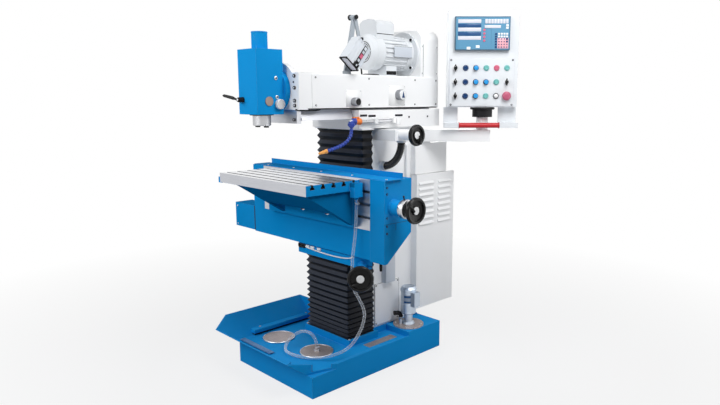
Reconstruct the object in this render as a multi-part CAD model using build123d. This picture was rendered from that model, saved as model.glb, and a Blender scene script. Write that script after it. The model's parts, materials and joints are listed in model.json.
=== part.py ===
from build123d import *
import math
import os

os.makedirs("parts", exist_ok=True)

# Universal tool milling machine, in millimetres.
# The origin is on the floor under the middle of the base. +Z is up, the operator stands at -Y
# and +X is the operator's right hand.

# Fits
RUN_FIT = 0.06
SLIDE_GAP = 0.2
TURN_GAP = 0.4

# Base tank with its chip pan; the rises are counted from the tank's top
BASE_W = 624.0
BASE_L = 922.0
TANK_H = 105.0
TANK_WALL = 12.0
PAN_FLOOR_T = 13.0
PAN_SHEET = 8.0
PAN_RISE = 120.0
LIP_RISE = 73.0
RIM_RISE = 25.0
FOOT_RISE = 49.0
PAD_RISE = 45.0
PAN_LEFT_FLARE = 136.0
PAN_FRONT_FLARE = 155.0
PAN_END_GAP = 50.0
CORNER_FRONT = 67.0
CORNER_SIDE = 152.0
FOOT_W = 370.0
FOOT_REACH = 215.0
FOOT_MARGIN = 3.0
COVER_R = 85.0
COVER_T = 5.0
COVER_LAND = 25.0
COVER_SPOTS = ((104.0, -267.0), (-190.0, -292.0))
GRATE_W = 46.0
GRATE_L = 205.0
GRATE_T = 3.0

# Coolant pump
PUMP_INSET_X = 87.0
PUMP_INSET_Y = 169.0
PUMP_PLATE_R = 84.0
PUMP_PLATE_T = 8.0
PUMP_R = 42.0
PUMP_H = 226.0
PUMP_DIP = 110.0
PUMP_DIP_R = 30.0
PUMP_HOLE_GAP = 10.0

# Column, with its ways in front and its cabinet behind
COLUMN_W = 270.0
COLUMN_FRONT = 100.0
COLUMN_L = 300.0
COLUMN_H = 1093.0
COLUMN_WALL = 20.0
WAY_W = 260.0
WAY_NECK_W = 210.0
WAY_PROUD = 60.0
WAY_T = 35.0
SIDE_COVER_H = 235.0
SIDE_COVER_T = 7.0
DUCT_W = 70.0
DUCT_T = 36.0
DUCT_TOP = 1000.0
PIPE_R = 8.0
CABINET_W = 360.0
CABINET_D = 325.0
CABINET_LOW = 200.0
CABINET_H = 778.0
CABINET_SHEET = 3.0
CABINET_PAD = 4.0
LOUVRES = 8
LOUVRE_PITCH = 33.0
LOUVRE_PROUD = 8.0
REAR_BOX_W = 340.0
REAR_BOX_D = 269.0
REAR_BOX_H = 170.0
REAR_BOX_WALL = 20.0

# Folded way covers
LOWER_PLEATS = 14
UPPER_PLEATS = 6
UPPER_SLEEVE_HALF = 182.0
PLEAT_DEPTH = 10.0
PLEAT_WALL = 4.0
SLEEVE_INSET = 4.0
FLANGE_T = 7.0
FLANGE_EDGE = 8.0

# Saddle and ram
SADDLE_W = 370.0
SADDLE_FRONT = -36.0
SADDLE_L = 616.0
SADDLE_H = 93.0
RAM_W = 320.0
RAM_FRONT = -361.0
RAM_L = 957.0
RAM_H = 170.0
RAM_CLEAR = 6.0
RAM_WALL = 18.0
RAM_COVER_T = 3.0
RAM_NOSE_T = 25.0
RAM_NOSE_R = 143.0
RAM_CHIN = 64.0
DOVETAIL_H = 50.0
DOVETAIL_NECK = 125.0
DOVETAIL_FOOT = 150.0
SPEED_KNOB_AT = (-50.0, 35.0)
RANGE_KNOB_AT = (272.0, 70.0)
KNOB_PIN_R = 6.0

# Motor and its belt cover on the ram
MOTOR_R = 93.0
MOTOR_RISE = 124.0
MOTOR_FRONT = 160.0
MOTOR_L = 299.0
MOTOR_X = 20.0
MOTOR_FLANGE_R = 120.0
MOTOR_FLANGE_T = 14.0
MOTOR_FINS = 24
DRIVE_W = 300.0
DRIVE_H = 252.0
DRIVE_D = 146.0
DRIVE_WALL = 10.0
DRIVE_ROUND = 55.0

# Milling head
HEAD_W = 150.0
HEAD_D = 144.0
HEAD_H = 295.0
HEAD_GAP = 26.0
HEAD_DROP = 112.0
HEAD_ROOF = 20.0
CAP_R = 37.0
CAP_H = 80.0
SWIVEL_RISE = 91.0
SWIVEL_R = 97.0
SPIGOT_R = 40.0
SPIGOT_L = 40.0
QUILL_R = 50.0
QUILL_L = 190.0
SPINDLE_R = 30.0
SPINDLE_L = 330.0
SPINDLE_NOSE_R = 42.5
SPINDLE_NOSE_H = 52.0
TAPER_R = 22.2
TAPER_L = 97.0
DRAWBAR_R = 8.0

# Knee, vertical table and work table
KNEE_RISE = 458.0
KNEE_W = 470.0
KNEE_H = 388.0
KNEE_FRONT_T = 74.0
KNEE_BLOCK_W = 460.0
KNEE_BLOCK_H = 52.0
KNEE_CLEAR = 4.0
SCREW_SETBACK = 45.0
SCREW_R = 20.0
SCREW_L = 596.0
SCREW_CLEAR = 4.0
RAIL_H = 40.0
RAIL_PROUD = 22.0
RAIL_INSET = 40.0
VERT_GAP = 3.0
VERT_T = 90.0
VERT_LEFT = -632.0
VERT_L = 992.0
VERT_H = 398.0
VERT_RISE = 8.0
VERT_PAD_H = 250.0
VERT_PAD_T = 2.0
VERT_PAD_INSET = 110.0
SCREW_COVER_L = 208.0
SCREW_COVER_WALL = 4.0
FEED_DEPTH = 65.0
FEED_RISE = 268.0
FEED_BORE_R = 14.0
BRACKET_L = 97.0
BRACKET_WALL = 12.0
BRACKET_BACK = 98.0
BRACKET_BEVEL = 135.0
BOSS_R = 36.0
BOSS_L = 60.0
GUARD_T = 3.0
GUARD_H = 28.0
TABLE_LEFT = -450.0
TABLE_L = 736.0
TABLE_DEPTH = 325.0
TABLE_T = 50.0
TABLE_STEP = 8.0
TABLE_FLANGE_T = 30.0
GUSSET_T = 35.0
GUSSET_SPOTS = (-320.0, 235.0)
APRON_T = 13.0
APRON_SHARE = 0.62
BOLT_SPOTS = (-390.0, -120.0, 80.0, 190.0)
TROUGH_W = 34.0
TROUGH_H = 30.0
TROUGH_WALL = 4.0
SLOT_W = 14.0
SLOT_PITCH = 63.0
SLOT_HEAD_W = 25.0
SLOT_THROAT = 11.0
SLOT_HEAD = 11.0

# Lift gearbox under the knee's right side
LIFT_W = 62.0
LIFT_D = 72.0
LIFT_H = 62.0
LIFT_REAR = -50.0
LIFT_BEVEL = 50.0
LIFT_BOSS_L = 100.0

# Handwheels
WHEEL_R = 62.0
CROSS_WHEEL_R = 53.0
WHEEL_HUB = 20.0
SHAFT_R = 10.0
X_WHEEL_REACH = 125.0
Y_WHEEL_REACH = 86.0
Z_WHEEL_REACH = 212.1
CROSS_BOX_R = 300.0
CROSS_BOX_H = 55.0
CROSS_BOX_D = 100.0

# Work light
STEM_AT = (124.0, -60.0)
STEM_T = 10.0
STEM_BASE_R = 21.0
STEM_BASE_H = 16.0
STEM_H = 278.0
STEM_LEAN = 50.0
LAMP_ARM_T = 6.0
LAMP_ARM_DROP = 104.0
LAMP_ARM_LEAN = 27.0
LAMP_W = 55.0
LAMP_D = 100.0
LAMP_L = 131.0
LAMP_RIBS = 5
LAMP_DIP = 50.0
LAMP_AHEAD = 65.0
LAMP_DROP = 77.0
PIN_R = 6.0
LINK_GAP = 0.5

# Control pendant, turned to face the operator's right front corner
ARM_ROOT = (141.0, 450.0)
ARM_REACH = 358.0
ARM_W = 62.0
ARM_H = 64.0
ARM_SHEET = 4.0
ARM_FOOT_H = 12.0
POST_R = 32.0
POST_H = 70.0
PIVOT_R = 18.0
COLLAR_R = 55.0
PENDANT_LIFT = 124.0
PENDANT_W = 380.0
PENDANT_H = 514.0
PENDANT_D = 90.0
PENDANT_SHEET = 3.0
PENDANT_SIDE = -9.0
PANEL_T = 3.0
CONTROL_PITCH_U = 56.0
CONTROL_PITCH_V = 75.0
CONTROL_FIRST = (-150.0, -46.0)
BUTTON_R = 11.0
BUTTON_TAIL = 6.0
BUTTON_PROUD = 4.0
STOP_R = 24.0
STOP_H = 16.0
STOP_TRAVEL = 6.0
BEZEL_R = 15.0
BEZEL_T = 4.0
READOUT_W = 293.0
READOUT_H = 174.0
READOUT_T = 22.0
BAR_R = 14.0
SIGNAL_SPOT = 16

# Hoses
DRAIN_R = 7.5
DRAIN_BORE = 5.5
CONDUIT_R = 20.0
CONDUIT_RIBS = 26
CONDUIT_LIP = 4.0
NOZZLE_R = 9.5
NOZZLE_RIBS = 18

# Heights that follow from the stack
PAN_FLOOR = TANK_H + PAN_FLOOR_T
PAN_TOP = TANK_H + PAN_RISE
LIP_TOP = TANK_H + LIP_RISE
RIM_TOP = TANK_H + RIM_RISE
FOOT_TOP = TANK_H + FOOT_RISE
PAD_TOP = TANK_H + PAD_RISE
COLUMN_TOP = FOOT_TOP + COLUMN_H
SADDLE_TOP = COLUMN_TOP + SADDLE_H
RAM_LOW = SADDLE_TOP + RAM_CLEAR
RAM_TOP = RAM_LOW + RAM_H
DOVETAIL_LOW = RAM_LOW - DOVETAIL_H
SWIVEL_Z = RAM_LOW + SWIVEL_RISE
HEAD_LOW = SWIVEL_Z - HEAD_DROP
HEAD_TOP = HEAD_LOW + HEAD_H
KNEE_LOW = FOOT_TOP + KNEE_RISE
KNEE_TOP = KNEE_LOW + KNEE_H
KNEE_BLOCK_LOW = KNEE_LOW - KNEE_BLOCK_H
VERT_LOW = KNEE_LOW + VERT_RISE
VERT_TOP = VERT_LOW + VERT_H
PAD_LOW = VERT_TOP - VERT_PAD_H
RAIL_LOWS = (VERT_LOW + RAIL_INSET, VERT_TOP - RAIL_INSET - RAIL_H)
FEED_Z = VERT_LOW + FEED_RISE
TABLE_TOP = VERT_TOP - TABLE_STEP
CABINET_TOP = CABINET_LOW + CABINET_H
REAR_BOX_LOW = CABINET_TOP + 2
REAR_BOX_TOP = REAR_BOX_LOW + REAR_BOX_H
ARM_LOW = REAR_BOX_TOP + ARM_FOOT_H
ARM_TOP = ARM_LOW + ARM_H

# Places across and along the machine that follow
half_w = BASE_W / 2
half_l = BASE_L / 2
PUMP_X = half_w - PUMP_INSET_X
PUMP_Y = half_l - PUMP_INSET_Y
column_half = COLUMN_W / 2
COLUMN_REAR = COLUMN_FRONT + COLUMN_L
FOOT_FRONT = COLUMN_FRONT - FOOT_REACH
FOOT_STEP = COLUMN_FRONT - 5
PAN_REAR = COLUMN_FRONT - PAN_END_GAP
WAY_FRONT = COLUMN_FRONT - WAY_PROUD
WAY_BACK = WAY_FRONT + WAY_T
KNEE_BACK = WAY_FRONT - KNEE_CLEAR
KNEE_FRONT = KNEE_BACK - KNEE_FRONT_T
knee_half = KNEE_W / 2
block_half = KNEE_BLOCK_W / 2
SCREW_Y = WAY_FRONT - SCREW_SETBACK
VERT_BACK = KNEE_FRONT - VERT_GAP
VERT_FACE = VERT_BACK - VERT_T
VERT_RIGHT = VERT_LEFT + VERT_L
FEED_Y = VERT_FACE + FEED_DEPTH
BRACKET_RIGHT = VERT_RIGHT + BRACKET_L
BRACKET_REAR = VERT_BACK + BRACKET_BACK
TABLE_RIGHT = TABLE_LEFT + TABLE_L
saddle_half = SADDLE_W / 2
SADDLE_REAR = SADDLE_FRONT + SADDLE_L
ram_half = RAM_W / 2
RAM_REAR = RAM_FRONT + RAM_L
RAM_SIDE = ram_half + RAM_COVER_T
NOSE_FRONT = RAM_FRONT - RAM_NOSE_T
HEAD_BACK = NOSE_FRONT - HEAD_GAP
HEAD_FRONT = HEAD_BACK - HEAD_D
head_half = HEAD_W / 2
SPINDLE_Y = (HEAD_FRONT + HEAD_BACK) / 2

RIGHT = (1, 0, 0)
BACK = (0, 1, 0)
FRONT = (0, -1, 0)
UP = (0, 0, 1)
DOWN = (0, 0, -1)
DIAGONAL = (1, -1, 0)
FAR = 2000.0
FUSE = 1.0


def block(x0, x1, y0, y1, z0, z1):
    """A plain block between two corners."""
    middle = Pos((x0 + x1) / 2, (y0 + y1) / 2, (z0 + z1) / 2)
    return middle * Box(x1 - x0, y1 - y0, z1 - z0)


def rod(start, direction, radius, length):
    """A round bar from a point along a direction."""
    upward = (Align.CENTER, Align.CENTER, Align.MIN)
    return Plane(origin=start, z_dir=direction) * Cylinder(radius, length, align=upward)


def along_x(points, x0, x1):
    """An outline in (y, z) pulled from x0 to x1."""
    return extrude(Plane.YZ.offset(x0) * Polygon(*points, align=None), x1 - x0, dir=RIGHT)


def along_y(points, y0, y1):
    """An outline in (x, z) pulled from y0 to y1."""
    plane = Plane(origin=(0, y0, 0), x_dir=RIGHT, z_dir=FRONT)
    return extrude(plane * Polygon(*points, align=None), y1 - y0, dir=BACK)


def along_z(points, z0, z1):
    """An outline in (x, y) pulled from z0 to z1."""
    return extrude(Pos(0, 0, z0) * Polygon(*points, align=None), z1 - z0, dir=UP)


def turned(profile, origin, direction):
    """A half outline in (radius, height) turned round an axis."""
    body = revolve(Plane.XZ * Polygon(*profile, align=None), Axis.Z)
    return Plane(origin=origin, z_dir=direction) * body


def with_heads(body, spots, direction, radius, height):
    """A body with low round screw heads on one of its faces."""
    for spot in spots:
        body = body + rod(spot, direction, radius, height)
    return body


def save(shape, node):
    """Write one node."""
    export_step(shape, "parts/" + node + ".step")


# Base: a closed tank under a flared pan, with a foot for the column and a pad for the pump.

def pan_body(inset):
    """The pan's outer form, or its inner form with an inset."""
    half = half_w - inset
    back = half_l - inset
    left = half + PAN_LEFT_FLARE
    front = back + PAN_FRONT_FLARE
    lower = Polygon((-half, -back), (half, -back), (half, back), (-half, back), align=None)
    upper = Polygon((-left, -front), (half, -front), (half, back), (-left, back), align=None)
    return loft([Pos(0, 0, TANK_H) * lower, Pos(0, 0, PAN_TOP) * upper], ruled=True)


lip_y = -half_l - PAN_FRONT_FLARE * LIP_RISE / PAN_RISE
corner_x = half_w - CORNER_FRONT


def corner_cut(inset):
    """What lies outside the pan's slanted right front corner."""
    tip_x = corner_x - inset
    side_y = -half_l + CORNER_SIDE - inset * 3
    outline = ((tip_x, lip_y), (half_w, side_y), (FAR, side_y), (FAR, -FAR), (tip_x, -FAR))
    return along_z(outline, TANK_H, PAN_TOP + FUSE)


pan = pan_body(0) - corner_cut(0)
hollow = pan_body(PAN_SHEET) - corner_cut(PAN_SHEET)
pan = pan - (hollow & block(-FAR, FAR, -FAR, FAR, PAN_FLOOR, FAR))
lip_cut = ((-FAR, LIP_TOP), (lip_y, LIP_TOP), (-half_l, PAN_TOP), (-half_l, FAR), (-FAR, FAR))
pan = pan - along_x(lip_cut, -FAR, FAR)
side_cut = ((corner_x, LIP_TOP), (half_w, RIM_TOP), (FAR, RIM_TOP), (FAR, FAR), (corner_x, FAR))
pan = pan - along_y(side_cut, -FAR, FAR)
pan = pan - block(-FAR, FAR, PAN_REAR, FAR, RIM_TOP, FAR)
pan = pan - block(-FAR, -half_w, PAN_REAR, FAR, TANK_H - FUSE, FAR)
foot_half = FOOT_W / 2
foot_rear_half = column_half + FOOT_MARGIN
end_wall = (
    (-half_w, TANK_H), (-half_w - PAN_LEFT_FLARE, PAN_TOP), (-foot_half, PAN_TOP), (-foot_half, TANK_H),
)
base = block(-half_w, half_w, -half_l, half_l, 0, TANK_H) + pan
base = base + along_y(end_wall, PAN_REAR - PAN_SHEET, PAN_REAR)
base = base + block(-half_w, -foot_half, PAN_REAR, half_l, TANK_H, RIM_TOP)
base = base + block(-foot_half, foot_half, FOOT_FRONT, FOOT_STEP, TANK_H, FOOT_TOP)
base = base + block(-foot_rear_half, foot_rear_half, FOOT_STEP, half_l, TANK_H, FOOT_TOP)
pad_front = PUMP_Y - PUMP_PLATE_R - 4
base = base + block(foot_rear_half, half_w, pad_front, half_l, TANK_H, PAD_TOP)
sump_top = TANK_H - TANK_WALL
sump_x = half_w - TANK_WALL
sump_y = half_l - TANK_WALL
base = base - block(-sump_x, sump_x, -sump_y, sump_y, TANK_WALL, sump_top)
for x, y in COVER_SPOTS:
    base = base - rod((x, y, sump_top - FUSE), UP, COVER_R - COVER_LAND, PAN_FLOOR - sump_top + 2 * FUSE)
pump_hole = PUMP_DIP_R + PUMP_HOLE_GAP
base = base - rod((PUMP_X, PUMP_Y, sump_top - FUSE), UP, pump_hole, PAD_TOP - sump_top + 2 * FUSE)
save(base, "base")

covers = [rod((x, y, PAN_FLOOR), UP, COVER_R, COVER_T) for x, y in COVER_SPOTS]
DRAIN_END = (*COVER_SPOTS[0], PAN_FLOOR + COVER_T)
spigot = DRAIN_BORE - 0.5
covers[0] = covers[0] + rod(DRAIN_END, UP, DRAIN_R + 3, 12) + rod(DRAIN_END, UP, spigot, 26)
grate_x = foot_half + 27
grate_y = pad_front - 39
covers.append(block(grate_x, grate_x + GRATE_W, grate_y - GRATE_L, grate_y, PAN_FLOOR, PAN_FLOOR + GRATE_T))
save(Compound(children=covers), "sump_covers")

motor_low = PUMP_PLATE_T + 58
pump_profile = (
    (0, -PUMP_DIP), (PUMP_DIP_R, -PUMP_DIP), (PUMP_DIP_R, 0), (PUMP_PLATE_R, 0),
    (PUMP_PLATE_R, PUMP_PLATE_T),
    (34, PUMP_PLATE_T), (30, 20), (24, 24), (24, motor_low - 4), (PUMP_R - 6, motor_low),
    (PUMP_R, motor_low + 6), (PUMP_R, PUMP_H - 32), (PUMP_R + 3, PUMP_H - 30), (PUMP_R + 3, PUMP_H - 18),
    (PUMP_R - 6, PUMP_H - 4), (0, PUMP_H),
)
pump = turned(pump_profile, (PUMP_X, PUMP_Y, PAD_TOP), UP)
box_x = PUMP_X + PUMP_R - 10
pump_top = PAD_TOP + PUMP_H
pump = pump + block(box_x, box_x + 34, PUMP_Y - 22, PUMP_Y + 22, pump_top - 110, pump_top - 30)
plate_top = PAD_TOP + PUMP_PLATE_T
pump = pump + rod((PUMP_X - PUMP_R + 2, PUMP_Y - 20, plate_top), UP, 11, 40)
pump = pump + rod((PUMP_X - 20, PUMP_Y - PUMP_R, plate_top), UP, 8, 30)
save(pump, "coolant_pump")

# Column: a hollow casting with flanged ways in front, a side cover, a cable duct and a rear box.

CONDUIT_SOCKET = (column_half + 14, COLUMN_FRONT + 75, COLUMN_TOP - 202)
inner = column_half - COLUMN_WALL
column = block(-column_half, column_half, COLUMN_FRONT, COLUMN_REAR, FOOT_TOP, COLUMN_TOP)
column = column - block(
    -inner, inner, COLUMN_FRONT + COLUMN_WALL, COLUMN_REAR - COLUMN_WALL, FOOT_TOP - FUSE,
    COLUMN_TOP - COLUMN_WALL,
)
neck_half = WAY_NECK_W / 2
way_half = WAY_W / 2
column = column + block(-neck_half, neck_half, WAY_BACK, COLUMN_FRONT, FOOT_TOP, COLUMN_TOP)
column = column + block(-way_half, way_half, WAY_FRONT, WAY_BACK, FOOT_TOP, COLUMN_TOP)
side_low = FOOT_TOP + 11
side_top = side_low + SIDE_COVER_H
side_ys = (COLUMN_FRONT + 12, COLUMN_REAR - 100)
side_x = column_half + SIDE_COVER_T
column = column + block(column_half, side_x, *side_ys, side_low, side_top)
head_zs = (side_low + 10, side_top - 10)
side_heads = [(side_x, y, z) for y in (side_ys[0] + 10, side_ys[1] - 10) for z in head_zs]
column = with_heads(column, side_heads, RIGHT, 4, 2)
duct_y = COLUMN_FRONT + DUCT_W
column = column + block(column_half, column_half + DUCT_T, duct_y, duct_y + DUCT_W, side_top, DUCT_TOP)
pipe_y = COLUMN_REAR - 45
column = column + rod((column_half + 12, pipe_y, REAR_BOX_TOP - 290), UP, PIPE_R, 290)
for z in (REAR_BOX_TOP - 300, REAR_BOX_TOP - 10):
    column = column + block(column_half, column_half + 20, pipe_y - 12, pipe_y + 12, z, z + 12)
column = column + rod((column_half, *CONDUIT_SOCKET[1:]), RIGHT, CONDUIT_R + 5, 14)
rear_half = REAR_BOX_W / 2
rear_room = rear_half - REAR_BOX_WALL
box_rear = COLUMN_REAR + REAR_BOX_D
rear_box = block(-rear_half, rear_half, COLUMN_REAR, box_rear, REAR_BOX_LOW, REAR_BOX_TOP)
rear_box = rear_box - block(
    -rear_room, rear_room, COLUMN_REAR + REAR_BOX_WALL, box_rear - REAR_BOX_WALL, REAR_BOX_LOW + 10,
    REAR_BOX_TOP - 10,
)
column = column + rear_box
save(column, "column")

cab_half = CABINET_W / 2
cab_front = COLUMN_REAR + CABINET_PAD
cab_rear = cab_front + CABINET_D
cabinet = block(-cab_half, cab_half, cab_front, cab_rear, CABINET_LOW, CABINET_TOP)
cabinet = cabinet - block(
    -cab_half + CABINET_SHEET, cab_half - CABINET_SHEET, cab_front + CABINET_SHEET, cab_rear - CABINET_SHEET,
    CABINET_LOW + CABINET_SHEET, CABINET_TOP - CABINET_SHEET,
)
cabinet = cabinet + block(
    -column_half, column_half, COLUMN_REAR, cab_front, CABINET_LOW + 100, CABINET_TOP - 78
)
louvre_low = CABINET_TOP - 288
for y0, y1 in ((cab_front + 16, cab_front + 141), (cab_front + 181, cab_rear - 34)):
    for i in range(LOUVRES):
        z = louvre_low + i * LOUVRE_PITCH
        lip = ((cab_half, z), (cab_half + LOUVRE_PROUD, z), (cab_half, z + 15))
        cabinet = cabinet + along_y(lip, y0, y1)
        cabinet = cabinet - block(cab_half - 5, cab_half + LOUVRE_PROUD / 2, y0 + 4, y1 - 4, z - 1, z + 5)
save(cabinet, "cabinet")


# Way covers: pleated sleeves, open to the column.

def pleated(half, front, rear, levels):
    """A sleeve whose walls fold in and out through the given heights."""
    rings = []
    for i, z in enumerate(levels):
        fold = PLEAT_DEPTH * (i % 2)
        x, y = half - fold, front + fold
        rings.append(Pos(0, 0, z) * Polygon((-x, y), (x, y), (x, rear), (-x, rear), align=None))
    room = half - PLEAT_DEPTH - PLEAT_WALL
    inside = front + PLEAT_DEPTH + PLEAT_WALL
    return loft(rings, ruled=True) - block(-room, room, inside, FAR, levels[0] - FUSE, levels[-1] + FUSE)


def fold_levels(low, high, pleats, ease):
    """Heights of the folds, closer together low down where the stack rests on itself."""
    count = pleats * 2
    return [low + (high - low) * (i / count) ** ease for i in range(count + 1)]


lower_half = foot_half - 15
lower_levels = fold_levels(FOOT_TOP, KNEE_BLOCK_LOW, LOWER_PLEATS, 1.25)
save(pleated(lower_half, FOOT_FRONT + SLEEVE_INSET, FOOT_STEP - 17, lower_levels), "bellows_lower")
flange_low = COLUMN_TOP - FLANGE_T
flange_front = KNEE_FRONT + 20
flange_rear = FOOT_STEP - 33
upper_levels = fold_levels(KNEE_TOP, flange_low, UPPER_PLEATS, 1.0)
save(pleated(UPPER_SLEEVE_HALF, flange_front + 7, flange_rear, upper_levels), "bellows_upper")

screw_foot = (0, SCREW_Y, FOOT_TOP)
save(rod(screw_foot, UP, SCREW_R, SCREW_L) + rod(screw_foot, UP, SCREW_R * 2, 24), "lift_screw")

# Saddle: a dovetail guide on the column for the ram.

slope = (DOVETAIL_FOOT - DOVETAIL_NECK) / DOVETAIL_H
groove_foot = DOVETAIL_FOOT + SLIDE_GAP + slope * SLIDE_GAP
groove_mouth = DOVETAIL_FOOT + SLIDE_GAP - slope * (SADDLE_TOP + FUSE - DOVETAIL_LOW)
groove = (
    (-groove_foot, DOVETAIL_LOW - SLIDE_GAP), (groove_foot, DOVETAIL_LOW - SLIDE_GAP),
    (groove_mouth, SADDLE_TOP + FUSE), (-groove_mouth, SADDLE_TOP + FUSE),
)
COOLANT_X = saddle_half + 15
COOLANT_Z = COLUMN_TOP + 38
COOLANT_FRONT = SADDLE_FRONT - 4
saddle = block(-saddle_half, saddle_half, SADDLE_FRONT, SADDLE_REAR, COLUMN_TOP, SADDLE_TOP)
saddle = saddle - along_y(groove, -FAR, FAR)
flange_half = UPPER_SLEEVE_HALF + FLANGE_EDGE
hole_half = way_half + 20
saddle = saddle + block(-flange_half, flange_half, flange_front, flange_rear, flange_low, COLUMN_TOP)
saddle = saddle - block(-hole_half, hole_half, WAY_FRONT - 20, FOOT_STEP, flange_low - FUSE, COLUMN_TOP)
for y in (SADDLE_FRONT + 96, SADDLE_FRONT + 226):
    saddle = saddle + block(saddle_half, COOLANT_X + 15, y - 10, y + 10, COOLANT_Z - 13, COOLANT_Z + 13)
saddle = saddle - rod((COOLANT_X, COOLANT_FRONT, COOLANT_Z), BACK, PIPE_R + 0.3, SADDLE_L)
save(saddle, "saddle")


# Handwheels: a shaft, a dished web, a thick rim and a hub that stays below the rim.

def handwheel(origin, direction, radius, shaft, extra):
    """A handwheel whose hub starts at the origin and looks along the direction."""
    web = radius - 16
    rim = radius - 4
    profile = (
        (0, -shaft), (SHAFT_R, -shaft), *extra, (WHEEL_HUB, 0), (WHEEL_HUB, 4), (web, 8), (web + 1, 5),
        (rim, 4), (radius, 9), (radius, 22), (rim, 27), (web + 3, 26), (web, 17), (WHEEL_HUB + 1, 13),
        (WHEEL_HUB, 18), (WHEEL_HUB - 2, 20), (0, 20),
    )
    return turned(profile, origin, direction)


def sleeve(length):
    """The outline of a plain hub sleeve behind a handwheel."""
    return (SHAFT_R, -length), (WHEEL_HUB, -length)


cross_low = COLUMN_TOP - 62
cross_top = cross_low + CROSS_BOX_H
cross_front = COLUMN_FRONT + 5
Y_WHEEL = (CROSS_BOX_R + Y_WHEEL_REACH, cross_front + 48, cross_top - 23)
CONDUIT_TOP = (CROSS_BOX_R - 30, cross_front + 76, cross_low - CONDUIT_LIP)
cross_box = block(column_half, CROSS_BOX_R, cross_front, cross_front + CROSS_BOX_D, cross_low, cross_top)
cross_box = cross_box + rod((CROSS_BOX_R, *Y_WHEEL[1:]), RIGHT, 27, Y_WHEEL_REACH - 15)
cross_box = cross_box - rod((CROSS_BOX_R - 70, *Y_WHEEL[1:]), RIGHT, SHAFT_R + RUN_FIT, Y_WHEEL_REACH + 65)
cross_box = cross_box + rod((*CONDUIT_TOP[:2], cross_low), DOWN, CONDUIT_R + 3, CONDUIT_LIP)
save(cross_box, "cross_feed_box")
save(handwheel(Y_WHEEL, RIGHT, CROSS_WHEEL_R, Y_WHEEL_REACH + 45, sleeve(13)), "handwheel_cross")


# Hoses

def route_path(points):
    """Straight runs joined by the largest even arcs, with the radii printed."""
    vectors = [Vector(*p) for p in points]
    radii = []
    for a, b, c in zip(vectors, vectors[1:], vectors[2:]):
        turn = math.radians((b - a).get_angle(c - b))
        short = min((b - a).length, (c - b).length)
        radii.append(0.45 * short / math.tan(turn / 2))
    print("radii", [round(r) for r in radii])
    return FilletPolyline(*points, radius=radii)


def tube(points, radius, bore):
    """A plain hose along a route, checked against its section times its length."""
    path = route_path(points)
    start = Plane(origin=path @ 0, z_dir=path % 0)
    solid = sweep(start * Circle(radius), path=path) - sweep(start * Circle(bore), path=path)
    share = solid.volume / (math.pi * (radius ** 2 - bore ** 2) * path.length)
    print("tube length", round(path.length), "volume share", round(share, 4))
    return solid


def ribbed(points, ribs, valley, ridge, bore, plain, steady):
    """A ribbed hose with straight plain ends along a route, on a steady side axis."""
    path = route_path(points)
    length = path.length
    pitch = (length - 2 * plain) / ribs
    stops = [(0.0, valley)]
    for i in range(ribs):
        at = plain + i * pitch
        stops += [(at + 0.02 * pitch, valley), (at + 0.25 * pitch, ridge)]
        stops += [(at + 0.70 * pitch, ridge), (at + 0.95 * pitch, valley)]
    stops.append((length, valley))
    side = Vector(*steady)
    outer = []
    inner = []
    for at, radius in stops:
        ahead = path % (at / length)
        plane = Plane(origin=path @ (at / length), x_dir=side - ahead * ahead.dot(side), z_dir=ahead)
        outer.append(plane * Circle(radius))
        inner.append(plane * Circle(bore))
    return loft(outer, ruled=True) - loft(inner, ruled=True)


def steps_from(start, steps):
    """A route from a start point and the places of its later points against it."""
    return [tuple(a + b for a, b in zip(start, step)) for step in ((0, 0, 0), *steps)]


conduit_route = steps_from(CONDUIT_TOP, ((0, 0, -42), (-32, -3, -102)))
conduit_route = conduit_route + steps_from(CONDUIT_SOCKET, ((34, 0, 0),))[::-1]
save(ribbed(conduit_route, CONDUIT_RIBS, CONDUIT_R - 3, CONDUIT_R, CONDUIT_R - 6, 6, BACK), "conduit")

# Coolant pipe on the saddle, with its valve, elbow, jointed hose and nozzle.

pipe_front = (COOLANT_X, COOLANT_FRONT, COOLANT_Z)
valve_y = COOLANT_FRONT - 17
elbow = (COOLANT_X, COOLANT_FRONT - 60, COOLANT_Z)
coolant_pipe = rod(pipe_front, BACK, PIPE_R, 262) + rod(pipe_front, FRONT, 13, 34)
coolant_pipe = coolant_pipe + rod(pipe_front, FRONT, 9, 54)
coolant_pipe = coolant_pipe + Pos(*elbow) * Sphere(13) + rod(elbow, DOWN, 9, 22)
coolant_pipe = coolant_pipe - rod((COOLANT_X, valve_y, COOLANT_Z), UP, 4 + RUN_FIT, 20)
save(coolant_pipe, "coolant_pipe")
valve = rod((COOLANT_X, valve_y, COOLANT_Z + 4), UP, 4, 16)
valve = valve + block(COOLANT_X - 6, COOLANT_X + 6, valve_y - 33, valve_y + 6, COOLANT_Z + 17, COOLANT_Z + 23)
save(valve, "coolant_valve")

hose_top = (COOLANT_X, COOLANT_FRONT - 60, COOLANT_Z - 22)
nozzle_steps = ((0, 0, -34), (-5, -12, -62), (-20, -31, -86), (-42, -64, -105), (-66, -103, -119))
nozzle_route = steps_from(hose_top, nozzle_steps)
nozzle_hose = ribbed(nozzle_route, NOZZLE_RIBS, NOZZLE_R - 2.2, NOZZLE_R, 4, 5, (-0.85, 0.52, 0))
nozzle_aim = Vector(*nozzle_route[-1]) - Vector(*nozzle_route[-2])
nozzle_profile = ((4, 0), (10, 0), (10, 8), (5, 44), (2.5, 44), (2.5, 8), (4, 8))
nozzle = turned(nozzle_profile, nozzle_route[-1], nozzle_aim)
save(Compound(children=[nozzle_hose, nozzle]), "nozzle_hose")

# Knee: it rides on the column's flanged ways and carries the table's rails.

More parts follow.
